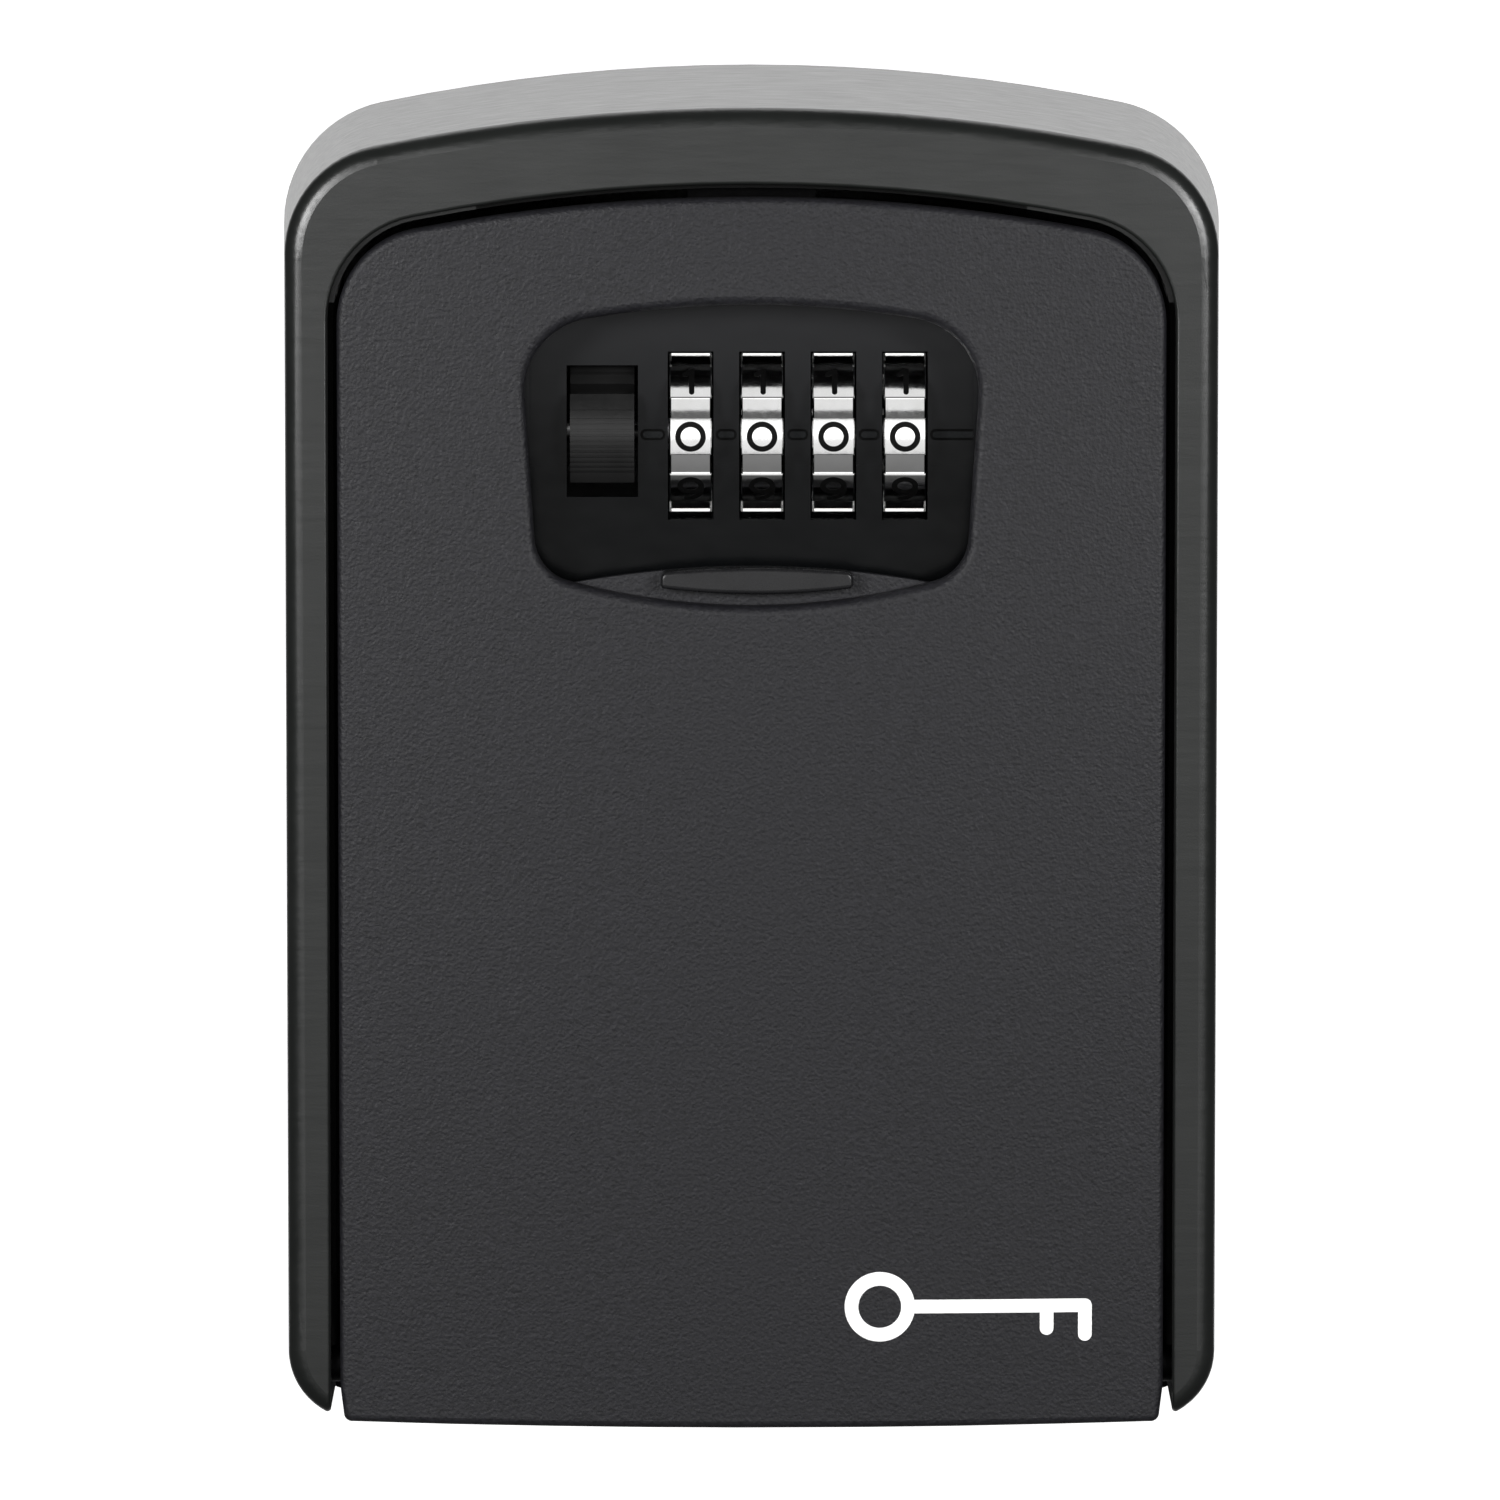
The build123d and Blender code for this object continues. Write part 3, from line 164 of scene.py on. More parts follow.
def bump(tree, height, distance, under=None):
    """A bump of that height in mm, over another bump if one is given."""
    made = tree.nodes.new("ShaderNodeBump")
    made.inputs["Strength"].default_value = 1.0
    made.inputs["Distance"].default_value = distance * MM
    tree.links.new(height, made.inputs["Height"])
    if under is not None:
        tree.links.new(under, made.inputs["Normal"])
    return made.outputs["Normal"]


def math_node(tree, operation, a, b=None, clamp=False):
    """The result of a Math node on values or sockets."""
    made = tree.nodes.new("ShaderNodeMath")
    made.operation = operation
    made.use_clamp = clamp
    for socket, value in zip(made.inputs, (a, b)):
        if value is None:
            continue
        if isinstance(value, (int, float)):
            socket.default_value = value
        else:
            tree.links.new(value, socket)
    return made.outputs[0]


def mixed(tree, factor, a, b):
    """The colour a where factor is 0, and b where it is 1."""
    made = tree.nodes.new("ShaderNodeMix")
    made.data_type = "RGBA"
    tree.links.new(factor, made.inputs["Factor"])
    for value, socket in ((a, made.inputs[6]), (b, made.inputs[7])):
        if isinstance(value, tuple):
            socket.default_value = value
        else:
            tree.links.new(value, socket)
    return made.outputs[2]


def finish_with(tree, shader, colour=None, roughness=None, normal=None):
    """Joins the worked-out colour, roughness and normal to the shader."""
    for value, socket in ((colour, "Base Color"), (roughness, "Roughness"), (normal, "Normal")):
        if value is not None:
            tree.links.new(value, shader.inputs[socket])


def inside_mouth(tree, where):
    """1 on the housing's inside, and 0 elsewhere."""
    axes = tree.nodes.new("ShaderNodeSeparateXYZ")
    tree.links.new(where, axes.inputs["Vector"])
    x, y, z = axes.outputs
    behind_rim = math_node(tree, "GREATER_THAN", y, MOUTH_FRONT_Y)
    before_back = math_node(tree, "LESS_THAN", y, MOUTH_BACK_Y)
    deep = math_node(tree, "MULTIPLY", behind_rim, before_back)
    sideways = math_node(tree, "ABSOLUTE", x)
    inside = 0.0
    for half_width, top in MOUTH_BOXES:
        between_walls = math_node(tree, "LESS_THAN", sideways, half_width)
        below_top = math_node(tree, "LESS_THAN", z, top)
        inside = math_node(tree, "MAXIMUM", inside, math_node(tree, "MULTIPLY", between_walls, below_top))
    return math_node(tree, "MULTIPLY", inside, deep)


def housing_paint():
    """Smooth satin black paint, with faint streaks where it was sprayed; dull where the door hides it, and
    near black there as painted shade.
    """
    made, tree, shader = node_tree("housing_satin_black")
    where = object_mm(tree)
    along = object_mm(tree, (0.12, 1.0, 1.0))
    inside_painted_shade_and_matte = inside_mouth(tree, where)
    colour = between(tree, noise(tree, where, 0.08, 3.0), (0.006, 0.0068, 0.0063), (0.009, 0.0100, 0.0093))
    # Painted shade: inside the housing the colour is near black; it is also made rough there.
    colour = mixed(tree, inside_painted_shade_and_matte, colour, MOUTH_PAINTED_SHADE)
    streaks = noise(tree, along, 1.6, 4.0, 0.6)
    fine = noise(tree, where, 5.0, 2.0)
    rough = math_node(tree, "MAXIMUM", spread(tree, streaks, 0.29, 0.37), inside_painted_shade_and_matte)
    relief = bump(tree, fine, 0.006)
    relief = bump(tree, streaks, 0.010, relief)
    finish_with(tree, shader, colour, rough, relief)
    shader.inputs["IOR"].default_value = 1.5
    return made


def door_paint():
    """Black powder coat with a fine leathery grain."""
    made, tree, shader = node_tree("door_textured_black")
    where = object_mm(tree)
    warped = noise(tree, where, 2.3, 3.0, 0.6, 0.4)
    pebbles = cells(tree, where, 2.7, 0.7)
    dust = noise(tree, where, 0.9, 5.0, 0.75)
    colour = between(tree, noise(tree, where, 2.0, 4.0, 0.7), (0.003, 0.003, 0.0045), (0.015, 0.0148, 0.0190))
    rough = spread(tree, dust, 0.50, 0.60)
    relief = bump(tree, warped, 0.070)
    relief = bump(tree, pebbles, 0.048, relief)
    finish_with(tree, shader, colour, rough, relief)
    shader.inputs["IOR"].default_value = 1.48
    return made


def smooth_plastic(name, dark, light, rough_low, rough_high, grain=0.004, ior=1.46):
    """Moulded black plastic: nearly smooth, with slight waviness and fine specks."""
    made, tree, shader = node_tree(name)
    where = object_mm(tree)
    colour = between(tree, noise(tree, where, 0.3, 3.0), dark, light)
    rough = spread(tree, noise(tree, where, 2.5, 4.0, 0.7), rough_low, rough_high)
    relief = bump(tree, noise(tree, where, 6.0, 2.0), grain)
    relief = bump(tree, noise(tree, where, 0.25, 1.0), 0.05, relief)
    finish_with(tree, shader, colour, rough, relief)
    shader.inputs["IOR"].default_value = ior
    return made


def faceplate_plastic():
    """Glossy black plastic, its colour lighter towards the top as a painted reflection, and near black lower
    down as painted shade.
    """
    made, tree, shader = node_tree("faceplate_gloss_black")
    where = object_mm(tree)
    axes = tree.nodes.new("ShaderNodeSeparateXYZ")
    tree.links.new(where, axes.inputs["Vector"])
    # Painted reflection: the colour lightens from the middle up to the top, and lower down it is near black
    # as painted shade.
    painted_reflection = spread(tree, axes.outputs["Z"], 0.0, 1.0, FACE_PAINTED_LIGHT_LOW, FACE_PAINTED_LIGHT_HIGH)
    colour = between(tree, painted_reflection, (0.0016, 0.0019, 0.0022), (0.022, 0.0225, 0.024), 0.0, 1.0)
    specks = noise(tree, where, 2.5, 4.0, 0.7)
    rough = spread(tree, specks, 0.18, 0.26)
    relief = bump(tree, noise(tree, where, 6.0, 2.0), 0.004)
    relief = bump(tree, noise(tree, where, 0.25, 1.0), 0.05, relief)
    finish_with(tree, shader, colour, rough, relief)
    shader.inputs["IOR"].default_value = 1.24
    return made


def grained_plastic(name, dark, light, scale, depth):
    """Matte black plastic with a spark-eroded grain."""
    made, tree, shader = node_tree(name)
    where = object_mm(tree)
    colour = between(tree, noise(tree, where, 0.4, 3.0), dark, light)
    rough = spread(tree, noise(tree, where, 1.5, 4.0), 0.5, 0.66)
    relief = bump(tree, noise(tree, where, scale, 4.0, 0.65), depth)
    finish_with(tree, shader, colour, rough, relief)
    return made


def metal(name, dark, light, rough_low, rough_high, grain=0.01, along=(1.0, 1.0, 1.0), scale=2.0):
    """Bare or plated metal, with a grain that may be drawn out along one axis."""
    made, tree, shader = node_tree(name)
    where = object_mm(tree)
    drawn = object_mm(tree, along)
    colour = between(tree, noise(tree, where, 0.35, 4.0, 0.6), dark, light)
    marks = noise(tree, drawn, scale, 5.0, 0.7)
    rough = spread(tree, marks, rough_low, rough_high)
    relief = bump(tree, marks, grain)
    finish_with(tree, shader, colour, rough, relief)
    shader.inputs["Metallic"].default_value = 1.0
    return made


def rubber():
    """Matte black foam rubber, with closed cells."""
    made, tree, shader = node_tree("liner_foam_black")
    where = object_mm(tree)
    pores = cells(tree, where, 1.7, 0.3)
    colour = between(tree, pores, (0.010, 0.010, 0.010), (0.028, 0.028, 0.028), 0.1, 0.7)
    relief = bump(tree, pores, 0.12)
    finish_with(tree, shader, colour, spread(tree, pores, 0.75, 0.92), relief)
    return made


def digit_paint():
    """Black paint in the digits, a little glossy."""
    made, tree, shader = node_tree("digit_black_paint")
    where = object_mm(tree)
    colour = between(tree, noise(tree, where, 3.0, 3.0), (0.0015, 0.0015, 0.0015), (0.004, 0.004, 0.004))
    rough = spread(tree, noise(tree, where, 5.0, 3.0), 0.42, 0.56)
    finish_with(tree, shader, colour, rough, bump(tree, noise(tree, where, 4.0, 2.0), 0.02))
    shader.inputs["IOR"].default_value = 1.2
    return made


def sign_print():
    """White pad-printed ink, which follows the grain under it."""
    made, tree, shader = node_tree("sign_white_ink")
    where = object_mm(tree)
    colour = between(tree, noise(tree, where, 1.5, 4.0), (0.93, 0.93, 0.93), (0.97, 0.97, 0.97))
    rough = spread(tree, noise(tree, where, 2.0, 3.0), 0.5, 0.62)
    finish_with(tree, shader, colour, rough, bump(tree, noise(tree, where, 1.9, 3.0, 0.6, 0.4), 0.05))
    return made


FINISHES = {
    "housing_paint": housing_paint(),
    "door_paint": door_paint(),
    "faceplate_plastic": faceplate_plastic(),
    "grip_plastic": smooth_plastic(
        "grip_gloss_black", (0.010, 0.010, 0.011), (0.014, 0.014, 0.015), 0.24, 0.32
    ),
    "lever_plastic": smooth_plastic(
        "lever_satin_black", (0.008, 0.008, 0.008), (0.013, 0.013, 0.013), 0.28, 0.38
    ),
    "cover_plastic": grained_plastic(
        "cover_grained_black", (0.018, 0.018, 0.019), (0.028, 0.028, 0.029), 2.2, 0.05
    ),
    "wheel_chrome": metal(
        "wheel_bright_chrome", (0.86, 0.86, 0.85), (0.93, 0.93, 0.93), 0.06, 0.16, 0.006, scale=1.6
    ),
    "case_zinc": metal(
        "case_cast_zinc", (0.40, 0.40, 0.41), (0.52, 0.52, 0.53), 0.42, 0.58, 0.05, scale=1.4
    ),
    "sleeve_nylon": smooth_plastic(
        "sleeve_black_nylon", (0.006, 0.006, 0.006), (0.011, 0.011, 0.011), 0.4, 0.5
    ),
    # Blackened steel, coloured darker than real black oxide: in part painted shade, for the shade in the
    # door's gap.
    "blackened_steel": metal(
        "black_oxide_steel_and_painted_shade", (0.005, 0.005, 0.0052), (0.009, 0.009, 0.0092), 0.55, 0.7, 0.006, scale=1.8
    ),
    "steel": metal(
        "zinc_plated_steel", (0.50, 0.50, 0.51), (0.62, 0.62, 0.62), 0.24, 0.4, 0.008, (0.3, 1.0, 3.0), 1.6
    ),
    "spring_steel": metal(
        "bright_spring_steel", (0.44, 0.44, 0.46), (0.58, 0.58, 0.6), 0.16, 0.3, 0.004, scale=2.5
    ),
    "liner_rubber": rubber(),
}

for piece in nodes.values():
    for slot in piece.material_slots:
        slot_name = slot.material.name.split(".")[0]
        slot.material = FINISHES[slot_name]


# ---- flat shapes drawn with a round-ended stroke, as thin solid pieces ----

def arc(cx, cz, rx, rz, start, end, steps=36):
    """Points on an ellipse from one angle to another, in degrees."""
    angles = [math.radians(start + (end - start) * i / steps) for i in range(steps + 1)]
    return [(cx + rx * math.cos(a), cz + rz * math.sin(a)) for a in angles]


SHORTEST_SPAN = 1e-12           # keeps a line of no length from dividing by nothing


def distance_to(lines, u, v):
    """From a point to the nearest of some open lines."""
    best = math.inf
    for line in lines:
        for (ax, ay), (bx, by) in zip(line, line[1:]):
            dx, dy = bx - ax, by - ay
            span = max(dx * dx + dy * dy, SHORTEST_SPAN)
            t = min(1.0, max(0.0, ((u - ax) * dx + (v - ay) * dy) / span))
            best = min(best, math.hypot(u - ax - t * dx, v - ay - t * dy))
    return best


SNAP_ROUNDS = 3                 # how many times a rim point is moved towards the stroke's edge
PROBE_SHARE = 0.01              # of a cell: how far apart the distances are that give the slope
LEAST_SLOPE = 0.3


def stroke_cells(lines, half_width, cell):
    """Square cells that cover a stroke: points drawn in to its edge, each cell's corners, and the rim."""
    us = [p[0] for line in lines for p in line]
    vs = [p[1] for line in lines for p in line]
    low_u, low_v = min(us) - half_width - cell, min(vs) - half_width - cell
    columns = int((max(us) + half_width + cell - low_u) / cell) + 2
    rows = int((max(vs) + half_width + cell - low_v) / cell) + 2
    faces = []
    used = {}
    for i in range(columns):
        for j in range(rows):
            if distance_to(lines, low_u + (i + 0.5) * cell, low_v + (j + 0.5) * cell) < half_width:
                faces.append([(i, j), (i + 1, j), (i + 1, j + 1), (i, j + 1)])
    count = {}
    for face in faces:
        for a, b in zip(face, face[1:] + face[:1]):
            edge = (min(a, b), max(a, b))
            count[edge] = count.get(edge, 0) + 1
    rim = {corner for edge, uses in count.items() if uses == 1 for corner in edge}
    step = PROBE_SHARE * cell
    for face in faces:
        for corner in face:
            if corner in used:
                continue
            u, v = low_u + corner[0] * cell, low_v + corner[1] * cell
            if corner in rim:
                for _ in range(SNAP_ROUNDS):
                    off = distance_to(lines, u, v) - half_width
                    gu = (distance_to(lines, u + step, v) - distance_to(lines, u - step, v)) / (2 * step)
                    gv = (distance_to(lines, u, v + step) - distance_to(lines, u, v - step)) / (2 * step)
                    size = max(LEAST_SLOPE, math.hypot(gu, gv))
                    u, v = u - off * gu / size, v - off * gv / size
            used[corner] = (u, v)
    return used, faces, {edge for edge, uses in count.items() if uses == 1}


def add_slab(points, polygons, shape, place, top, bottom):
    """A slab with the stroke's outline: place(u, v, height) gives each point."""
    corners, faces, rim = shape
    number = {}
    for level, height in enumerate((top, bottom)):
        for corner, (u, v) in corners.items():
            number[corner, level] = len(points)
            points.append(place(u, v, height))
    for face in faces:
        polygons.append([number[c, 0] for c in face])
        polygons.append([number[c, 1] for c in reversed(face)])
        for a, b in zip(face, face[1:] + face[:1]):
            if (min(a, b), max(a, b)) in rim:
                polygons.append([number[a, 0], number[a, 1], number[b, 1], number[b, 0]])


def new_piece(name, points, polygons, finish):
    """A mesh object with flat faces, from points in mm."""
    mesh = bpy.data.meshes.new(name)
    mesh.from_pydata([[c * MM for c in p] for p in points], [], polygons)
    mesh.validate()
    mesh.update()
    made = bpy.data.objects.new(name, mesh)
    bpy.context.scene.collection.objects.link(made)
    made.data.materials.append(finish)
    return made


# ---- the digits on the wheels ----

DIGITS = (
    [arc(0, 0, 1.38, 1.36, 0, 360)],
    [[(-0.62, 0.86), (0.12, 1.36), (0.12, -1.36)]],
    [arc(0, 0.55, 1.1, 0.8, 165, -35) + [(-1.15, -1.36), (1.2, -1.36)]],
    [arc(0, 0.68, 1.0, 0.68, 150, -80), arc(0, -0.62, 1.15, 0.74, 85, -155)],
    [[(0.55, -1.36), (0.55, 1.36), (-1.2, -0.65), (1.25, -0.65)]],
    [[(1.0, 1.36), (-0.85, 1.36), (-0.95, 0.2)] + arc(0, -0.5, 1.15, 0.86, 140, -155)],
    [arc(0, -0.5, 1.15, 0.86, 0, 360), arc(0.45, 0.0, 1.6, 1.36, 90, 190)],
    [[(-1.15, 1.36), (1.15, 1.36), (-0.35, -1.36)]],
    [arc(0, 0.7, 0.95, 0.66, 0, 360), arc(0, -0.62, 1.2, 0.74, 0, 360)],
    [arc(0, 0.5, 1.15, 0.86, 0, 360), arc(-0.45, 0.0, 1.6, 1.36, 10, -90)],
)
digit_finish = digit_paint()
digit_shapes = [stroke_cells(lines, DIGIT_STROKE / 2, DIGIT_CELL) for lines in DIGITS]


def on_wheel(wheel_x, turn):
    """Where a point of a digit lies, with the digit turned up from the front by an angle."""
    axis_y, axis_z = WHEEL_AXIS

    def place(u, v, height):
        angle = turn + v / WHEEL_RADIUS
        reach = WHEEL_RADIUS + height
        return (wheel_x + u, axis_y - reach * math.cos(angle), axis_z + reach * math.sin(angle))
    return place


# Each digit is turned up from the one before it, so that the next higher digit is above the one in front.
for wheel in range(WHEEL_COUNT):
    points, polygons = [], []
    for digit, shape in enumerate(digit_shapes):
        place = on_wheel(WHEEL_X + wheel * WHEEL_PITCH, 2.0 * math.pi * digit / len(DIGITS))
        add_slab(points, polygons, shape, place, DIGIT_PROUD, -DIGIT_SINK)
    digits = new_piece(f"digits_{wheel + 1}", points, polygons, digit_finish)
    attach(digits, f"dial_{wheel + 1}")


# ---- the key sign on the door ----

KEY_STROKE = 1.5
BOW_RADIUS = 3.1
TOOTH_LENGTHS = (3.2, 2.5)      # the tooth at the key's end, and the one before it
TOOTH_PITCH = 4.2
bow_x = KEY_LEFT_X + BOW_RADIUS + KEY_STROKE / 2
key_end = KEY_RIGHT_X - KEY_STROKE / 2
key_lines = [
    arc(bow_x, KEY_MIDDLE_Z, BOW_RADIUS, BOW_RADIUS, 0, 360, 48),
    [(bow_x + BOW_RADIUS, KEY_MIDDLE_Z), (key_end, KEY_MIDDLE_Z)],
]
for number, tooth_length in enumerate(TOOTH_LENGTHS):
    tooth_x = key_end - number * TOOTH_PITCH
    key_lines.append([(tooth_x, KEY_MIDDLE_Z), (tooth_x, KEY_MIDDLE_Z - tooth_length)])


def on_door(x, z, height):
    """A point on the door's crowned front."""
    sag = DOOR_CROWN_RADIUS - math.sqrt(DOOR_CROWN_RADIUS ** 2 - x * x)
    return (x, DOOR_CROWN_Y + sag - height, z)


points, polygons = [], []
add_slab(points, polygons, stroke_cells(key_lines, KEY_STROKE / 2, KEY_CELL), on_door, KEY_PROUD, -KEY_SINK)
key_sign = new_piece("key_sign", points, polygons, sign_print())
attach(key_sign, "door")


# ---- the index marks beside the wheels: a black outline of painted shade in each groove, round a greyer middle of painted light ----

MARK_Z = WHEEL_AXIS[1]
mark_spans = []
left = LEVER_SLOT_RIGHT_X + MARK_GAP
for wheel in range(WHEEL_COUNT):
    middle = WHEEL_X + wheel * WHEEL_PITCH
    mark_spans.append((left, middle - SLOT_HALF_WIDTH - MARK_GAP))
    left = middle + SLOT_HALF_WIDTH + MARK_GAP
mark_spans.append((left, FACE_RIGHT_X + MARK_HEIGHT))


def stadium(left, right, height):
    """The closed outline of a bar with round ends."""
    half = height / 2
    right_end = arc(right - half, MARK_Z, half, half, -90, 90, MARK_STEPS)
    left_end = arc(left + half, MARK_Z, half, half, 90, 270, MARK_STEPS)
    return right_end + left_end + right_end[:1]


def on_faceplate(x, z, height):
    """A point over the faceplate's front. The last mark stops at its right edge."""
    return (min(x, FACE_RIGHT_X - MARK_END_GAP), FACE_Y - height, z)


def matte_paint(name, colour):
    """Matte paint of one even colour, with a fine grain."""
    made, tree, shader = node_tree(name)
    where = object_mm(tree)
    shade = between(tree, noise(tree, where, 4.0, 3.0), [c * 0.8 for c in colour], [c * 1.2 for c in colour])
    finish_with(tree, shader, shade, spread(tree, noise(tree, where, 5.0, 3.0), 0.6, 0.75))
    shader.inputs["IOR"].default_value = 1.2
    return made


line_points, line_polygons, bar_points, bar_polygons = [], [], [], []
for left, right in mark_spans:
    inset = MARK_LINE / 2
    outline = stadium(left + inset, right - inset, MARK_HEIGHT - MARK_LINE)
    line_cells = stroke_cells([outline], MARK_LINE / 2, MARK_CELL)
    add_slab(line_points, line_polygons, line_cells, on_faceplate, MARK_LINE_PROUD, -MARK_SINK)
    half = MARK_HEIGHT / 2
    bar = [(left + half, MARK_Z), (right - half, MARK_Z)]
    bar_cells = stroke_cells([bar], half - MARK_LINE, MARK_CELL)
    add_slab(bar_points, bar_polygons, bar_cells, on_faceplate, MARK_BAR_PROUD, -MARK_SINK)
# Painted shade: the black outlines stand for the shade in the grooves. Painted light: the grey middles,
# lighter than the faceplate, stand for light on the raised middles.
for name, points, polygons, colour in (
    ("index_painted_shade_outlines", line_points, line_polygons, (0.001, 0.001, 0.001)),
    ("index_painted_light_bars", bar_points, bar_polygons, (0.016, 0.017, 0.018)),
):
    marks = new_piece(name, points, polygons, matte_paint(name + "_paint", colour))
    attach(marks, "door")


# ---- return springs: a CAD coil can't shorten, so a copy of each, in spring steel, is attached to the door in its place ----

# for each node: its joint, the way that the coil points, its fixed end's place, and the joint's travel in mm
COILS = {
    "shaft_spring": ("shaft_shift", (1.0, 0.0, 0.0), (-26.0, -36.1, 35.35), 1.5),
    "latch_spring": ("latch_slide", (0.0, 0.0, 1.0), (24.0, -30.6, 38.6), 2.2),
}

for node_name, (joint, axis, fixed_end, travel) in COILS.items():
    coil = bpy.data.objects.new(node_name + "_coil", nodes[node_name].data.copy())
    bpy.context.scene.collection.objects.link(coil)
    coil.data.materials.clear()
    coil.data.materials.append(FINISHES["spring_steel"])
    anchor = Vector(fixed_end) * MM
    length = (Vector(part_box(node_name)[1]) - anchor).dot(Vector(axis))
    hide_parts(node_name)
    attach(coil, "door")
    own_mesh(coil)
    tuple(axis)


# ---- studio: pale floor, white surround with dark sides, and soft boxes ----

def area_light(name, place, aim, width, height, power):
    """A flat light that faces a point."""
    data = bpy.data.lights.new(name, "AREA")
    data.shape = "RECTANGLE"
    data.size, data.size_y = width, height
    data.energy = power
    made = bpy.data.objects.new(name, data)
    made.location = place
    made.rotation_euler = (Vector(aim) - Vector(place)).to_track_quat("-Z", "Y").to_euler()
    bpy.context.scene.collection.objects.link(made)
    return made


def ramp_of(tree, value, stops):
    """A grey level that goes through (position, level) stops."""
    made = tree.nodes.new("ShaderNodeValToRGB")
    ramp = made.color_ramp
    while len(ramp.elements) < len(stops):
        ramp.elements.new(0.5)
    for element, (position, level) in zip(ramp.elements, stops):
        element.position = position
        element.color = (level, level, level, 1.0)
    tree.links.new(value, made.inputs["Fac"])
    return made.outputs["Color"]


# brightness of the surround by height above the horizon, from straight down (0) to straight up (1)
FRONT_LEVELS = (
    (0.00, 0.02), (0.15, 0.03), (0.20, 0.12), (0.34, 0.16), (0.45, 0.24), (0.475, 0.90),
    (0.56, 1.00), (0.60, 0.08), (1.00, 0.02),
)
BACK_LEVELS = (
    (0.00, 0.06), (0.30, 0.35), (0.46, 1.00), (0.78, 1.00), (0.90, 0.06), (1.00, 0.03),
)
SIDE_LEVEL = 0.07
SIDE_STOPS = ((0.35, 0.0), (0.60, 1.0))         # where the dark sides start, and where they are full
BEHIND_SHARPNESS = 6.0          # how quickly the front of the surround becomes its back
WORLD_STRENGTH = 1.4


def make_world():
    """White to the camera; to all else, a studio with a dark ceiling and sides and a white band around it."""
    world = bpy.data.worlds.new("studio")
    bpy.context.scene.world = world
    world.use_nodes = True
    tree = world.node_tree
    tree.nodes.clear()
    where = tree.nodes.new("ShaderNodeTexCoord")
    parts = tree.nodes.new("ShaderNodeSeparateXYZ")
    tree.links.new(where.outputs["Generated"], parts.inputs["Vector"])
    x, y, z = parts.outputs
    height = math_node(tree, "DIVIDE", math_node(tree, "ARCSINE", z), math.pi)
    height = math_node(tree, "ADD", height, 0.5)
    front = ramp_of(tree, height, FRONT_LEVELS)
    back = ramp_of(tree, height, BACK_LEVELS)
    sideways = math_node(tree, "ABSOLUTE", x)
    squared = [math_node(tree, "MULTIPLY", part, part) for part in (x, y)]
    level = math_node(tree, "SQRT", math_node(tree, "ADD", *squared))
    sideways = math_node(tree, "DIVIDE", sideways, math_node(tree, "MAXIMUM", level, 0.001))
    side_mask = ramp_of(tree, sideways, SIDE_STOPS)
    behind = math_node(tree, "ADD", math_node(tree, "MULTIPLY", y, BEHIND_SHARPNESS), 0.5, clamp=True)
    colour = mixed(tree, behind, front, back)
    colour = mixed(tree, side_mask, colour, (SIDE_LEVEL, SIDE_LEVEL, SIDE_LEVEL, 1.0))
    lit = tree.nodes.new("ShaderNodeBackground")
    tree.links.new(colour, lit.inputs["Color"])
    lit.inputs["Strength"].default_value = WORLD_STRENGTH
    seen = tree.nodes.new("ShaderNodeBackground")
    seen.inputs["Color"].default_value = (1.0, 1.0, 1.0, 1.0)
    rays = tree.nodes.new("ShaderNodeLightPath")
    choose = tree.nodes.new("ShaderNodeMixShader")
    tree.links.new(rays.outputs["Is Camera Ray"], choose.inputs["Fac"])
    tree.links.new(lit.outputs["Background"], choose.inputs[1])
    tree.links.new(seen.outputs["Background"], choose.inputs[2])
    out = tree.nodes.new("ShaderNodeOutputWorld")
    tree.links.new(choose.outputs["Shader"], out.inputs["Surface"])


make_world()


def lights_only(light, receivers):
    """Limits a light to some of the pieces."""
    lit_by = bpy.data.collections.new(light.name + "_receivers")
    for receiver in receivers:
        lit_by.objects.link(receiver)
    light.light_linking.receiver_collection = lit_by


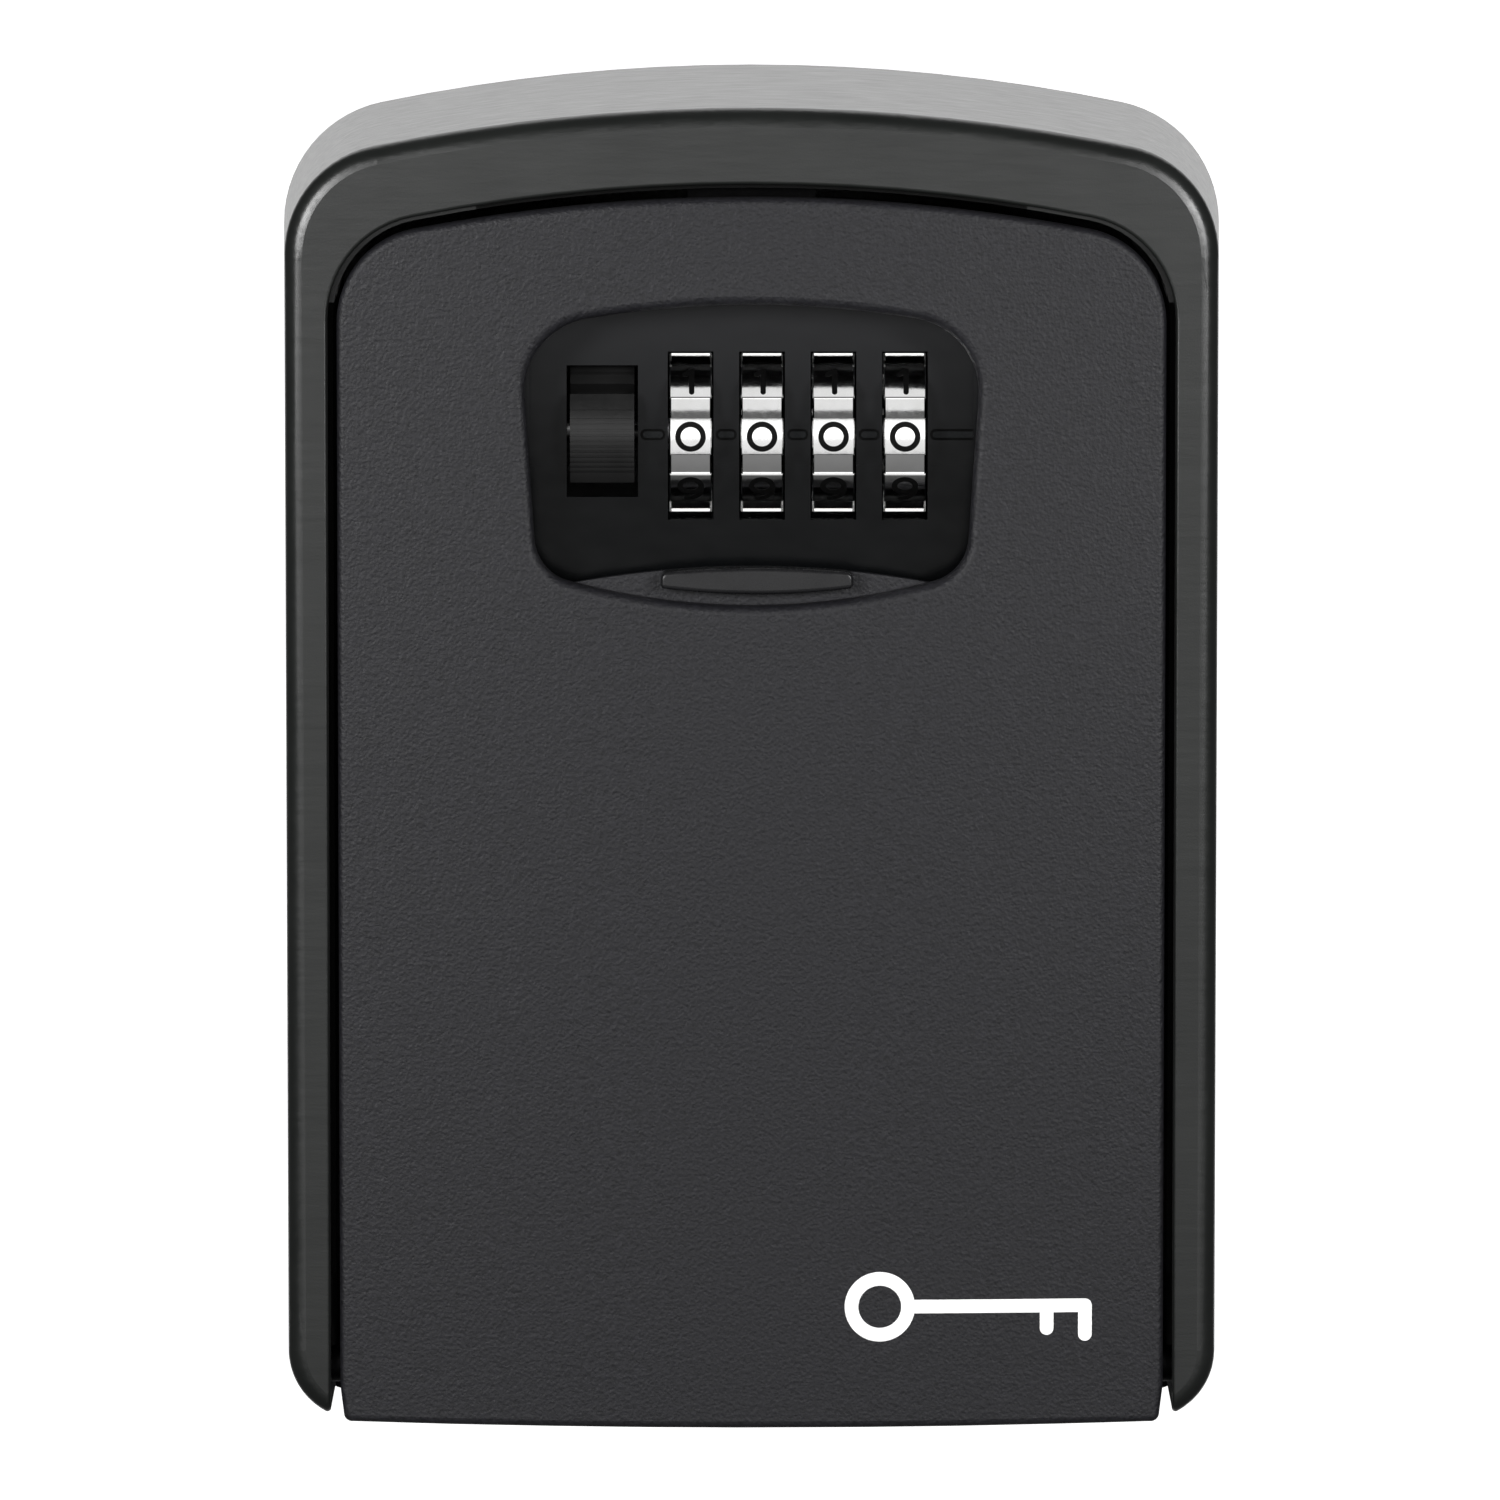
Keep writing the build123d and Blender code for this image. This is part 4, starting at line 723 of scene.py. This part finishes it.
# The x of a place is to the right, for the lights that come in pairs.
AIM = (0.0, -0.05, 0.04)
SOFT_BOX_PLACE = (0.30, -0.42, 0.13)
SOFT_BOX_SIZE = 0.14
SOFT_BOX_POWER = 1.5
RIM_LIGHT_PLACE = (0.18, -0.36, 0.12)
RIM_LIGHT_SIZE = 0.12
RIM_LIGHT_POWER = 0.45
RIGHT_SHARE = 0.85              # the lights on the right are a little weaker
WHEEL_CARDS = (
    ("wheel_card_high", (0.0, -0.72, 0.82), 1.4, 0.80, 2.6),
    ("wheel_card_low", (0.0, -1.10, -0.16), 1.2, 0.52, 1.15),
)
WHEELS = [nodes[f"wheel_{number + 1}"] for number in range(WHEEL_COUNT)]


def to_side(place, side):
    """A place on the right, or its mirror on the left."""
    x, y, z = place
    return (side * x, y, z)


# Small soft boxes left and right in front of the box: a pair for everything, and a pair for the housing and
# the white sign. Two cards are there only for the wheels to mirror.
for side, name, share in ((-1, "left", 1.0), (1, "right", RIGHT_SHARE)):
    place = to_side(SOFT_BOX_PLACE, side)
    area_light(f"soft_box_{name}", place, AIM, SOFT_BOX_SIZE, SOFT_BOX_SIZE, SOFT_BOX_POWER * share)
    place = to_side(RIM_LIGHT_PLACE, side)
    power = RIM_LIGHT_POWER * share
    rim_light = area_light(f"rim_light_{name}", place, AIM, RIM_LIGHT_SIZE, RIM_LIGHT_SIZE, power)
    lights_only(rim_light, [nodes["housing"], key_sign])
for name, place, width, height, power in WHEEL_CARDS:
    lights_only(area_light(name, place, AIM, width, height, power), WHEELS)

FLOOR_Z = -190.0                # mm
FLOOR_HALF = 6000.0
floor_corners = [(x * FLOOR_HALF, y * FLOOR_HALF, FLOOR_Z) for x, y in ((-1, -1), (1, -1), (1, 1), (-1, 1))]
floor_finish, _, floor_shader = node_tree("studio_white")
floor = new_piece("studio_floor", floor_corners, [(0, 1, 2, 3)], floor_finish)
floor_shader.inputs["Base Color"].default_value = (0.9, 0.9, 0.9, 1.0)
floor_shader.inputs["Emission Color"].default_value = (1.0, 1.0, 1.0, 1.0)
floor_shader.inputs["Emission Strength"].default_value = 0.9
floor_shader.inputs["Roughness"].default_value = 0.9
floor.visible_glossy = False
floor.visible_diffuse = False

camera_data = bpy.data.cameras.new("camera")
camera_data.lens = CAMERA_LENS
camera_data.sensor_width = 36.0
camera = bpy.data.objects.new("camera", camera_data)
camera.location = CAMERA_PLACE
camera.rotation_euler = Euler((math.radians(90.0 - CAMERA_PITCH), 0.0, 0.0))
bpy.context.scene.collection.objects.link(camera)
bpy.context.scene.camera = camera
bpy.context.scene.view_settings.view_transform = "Standard"
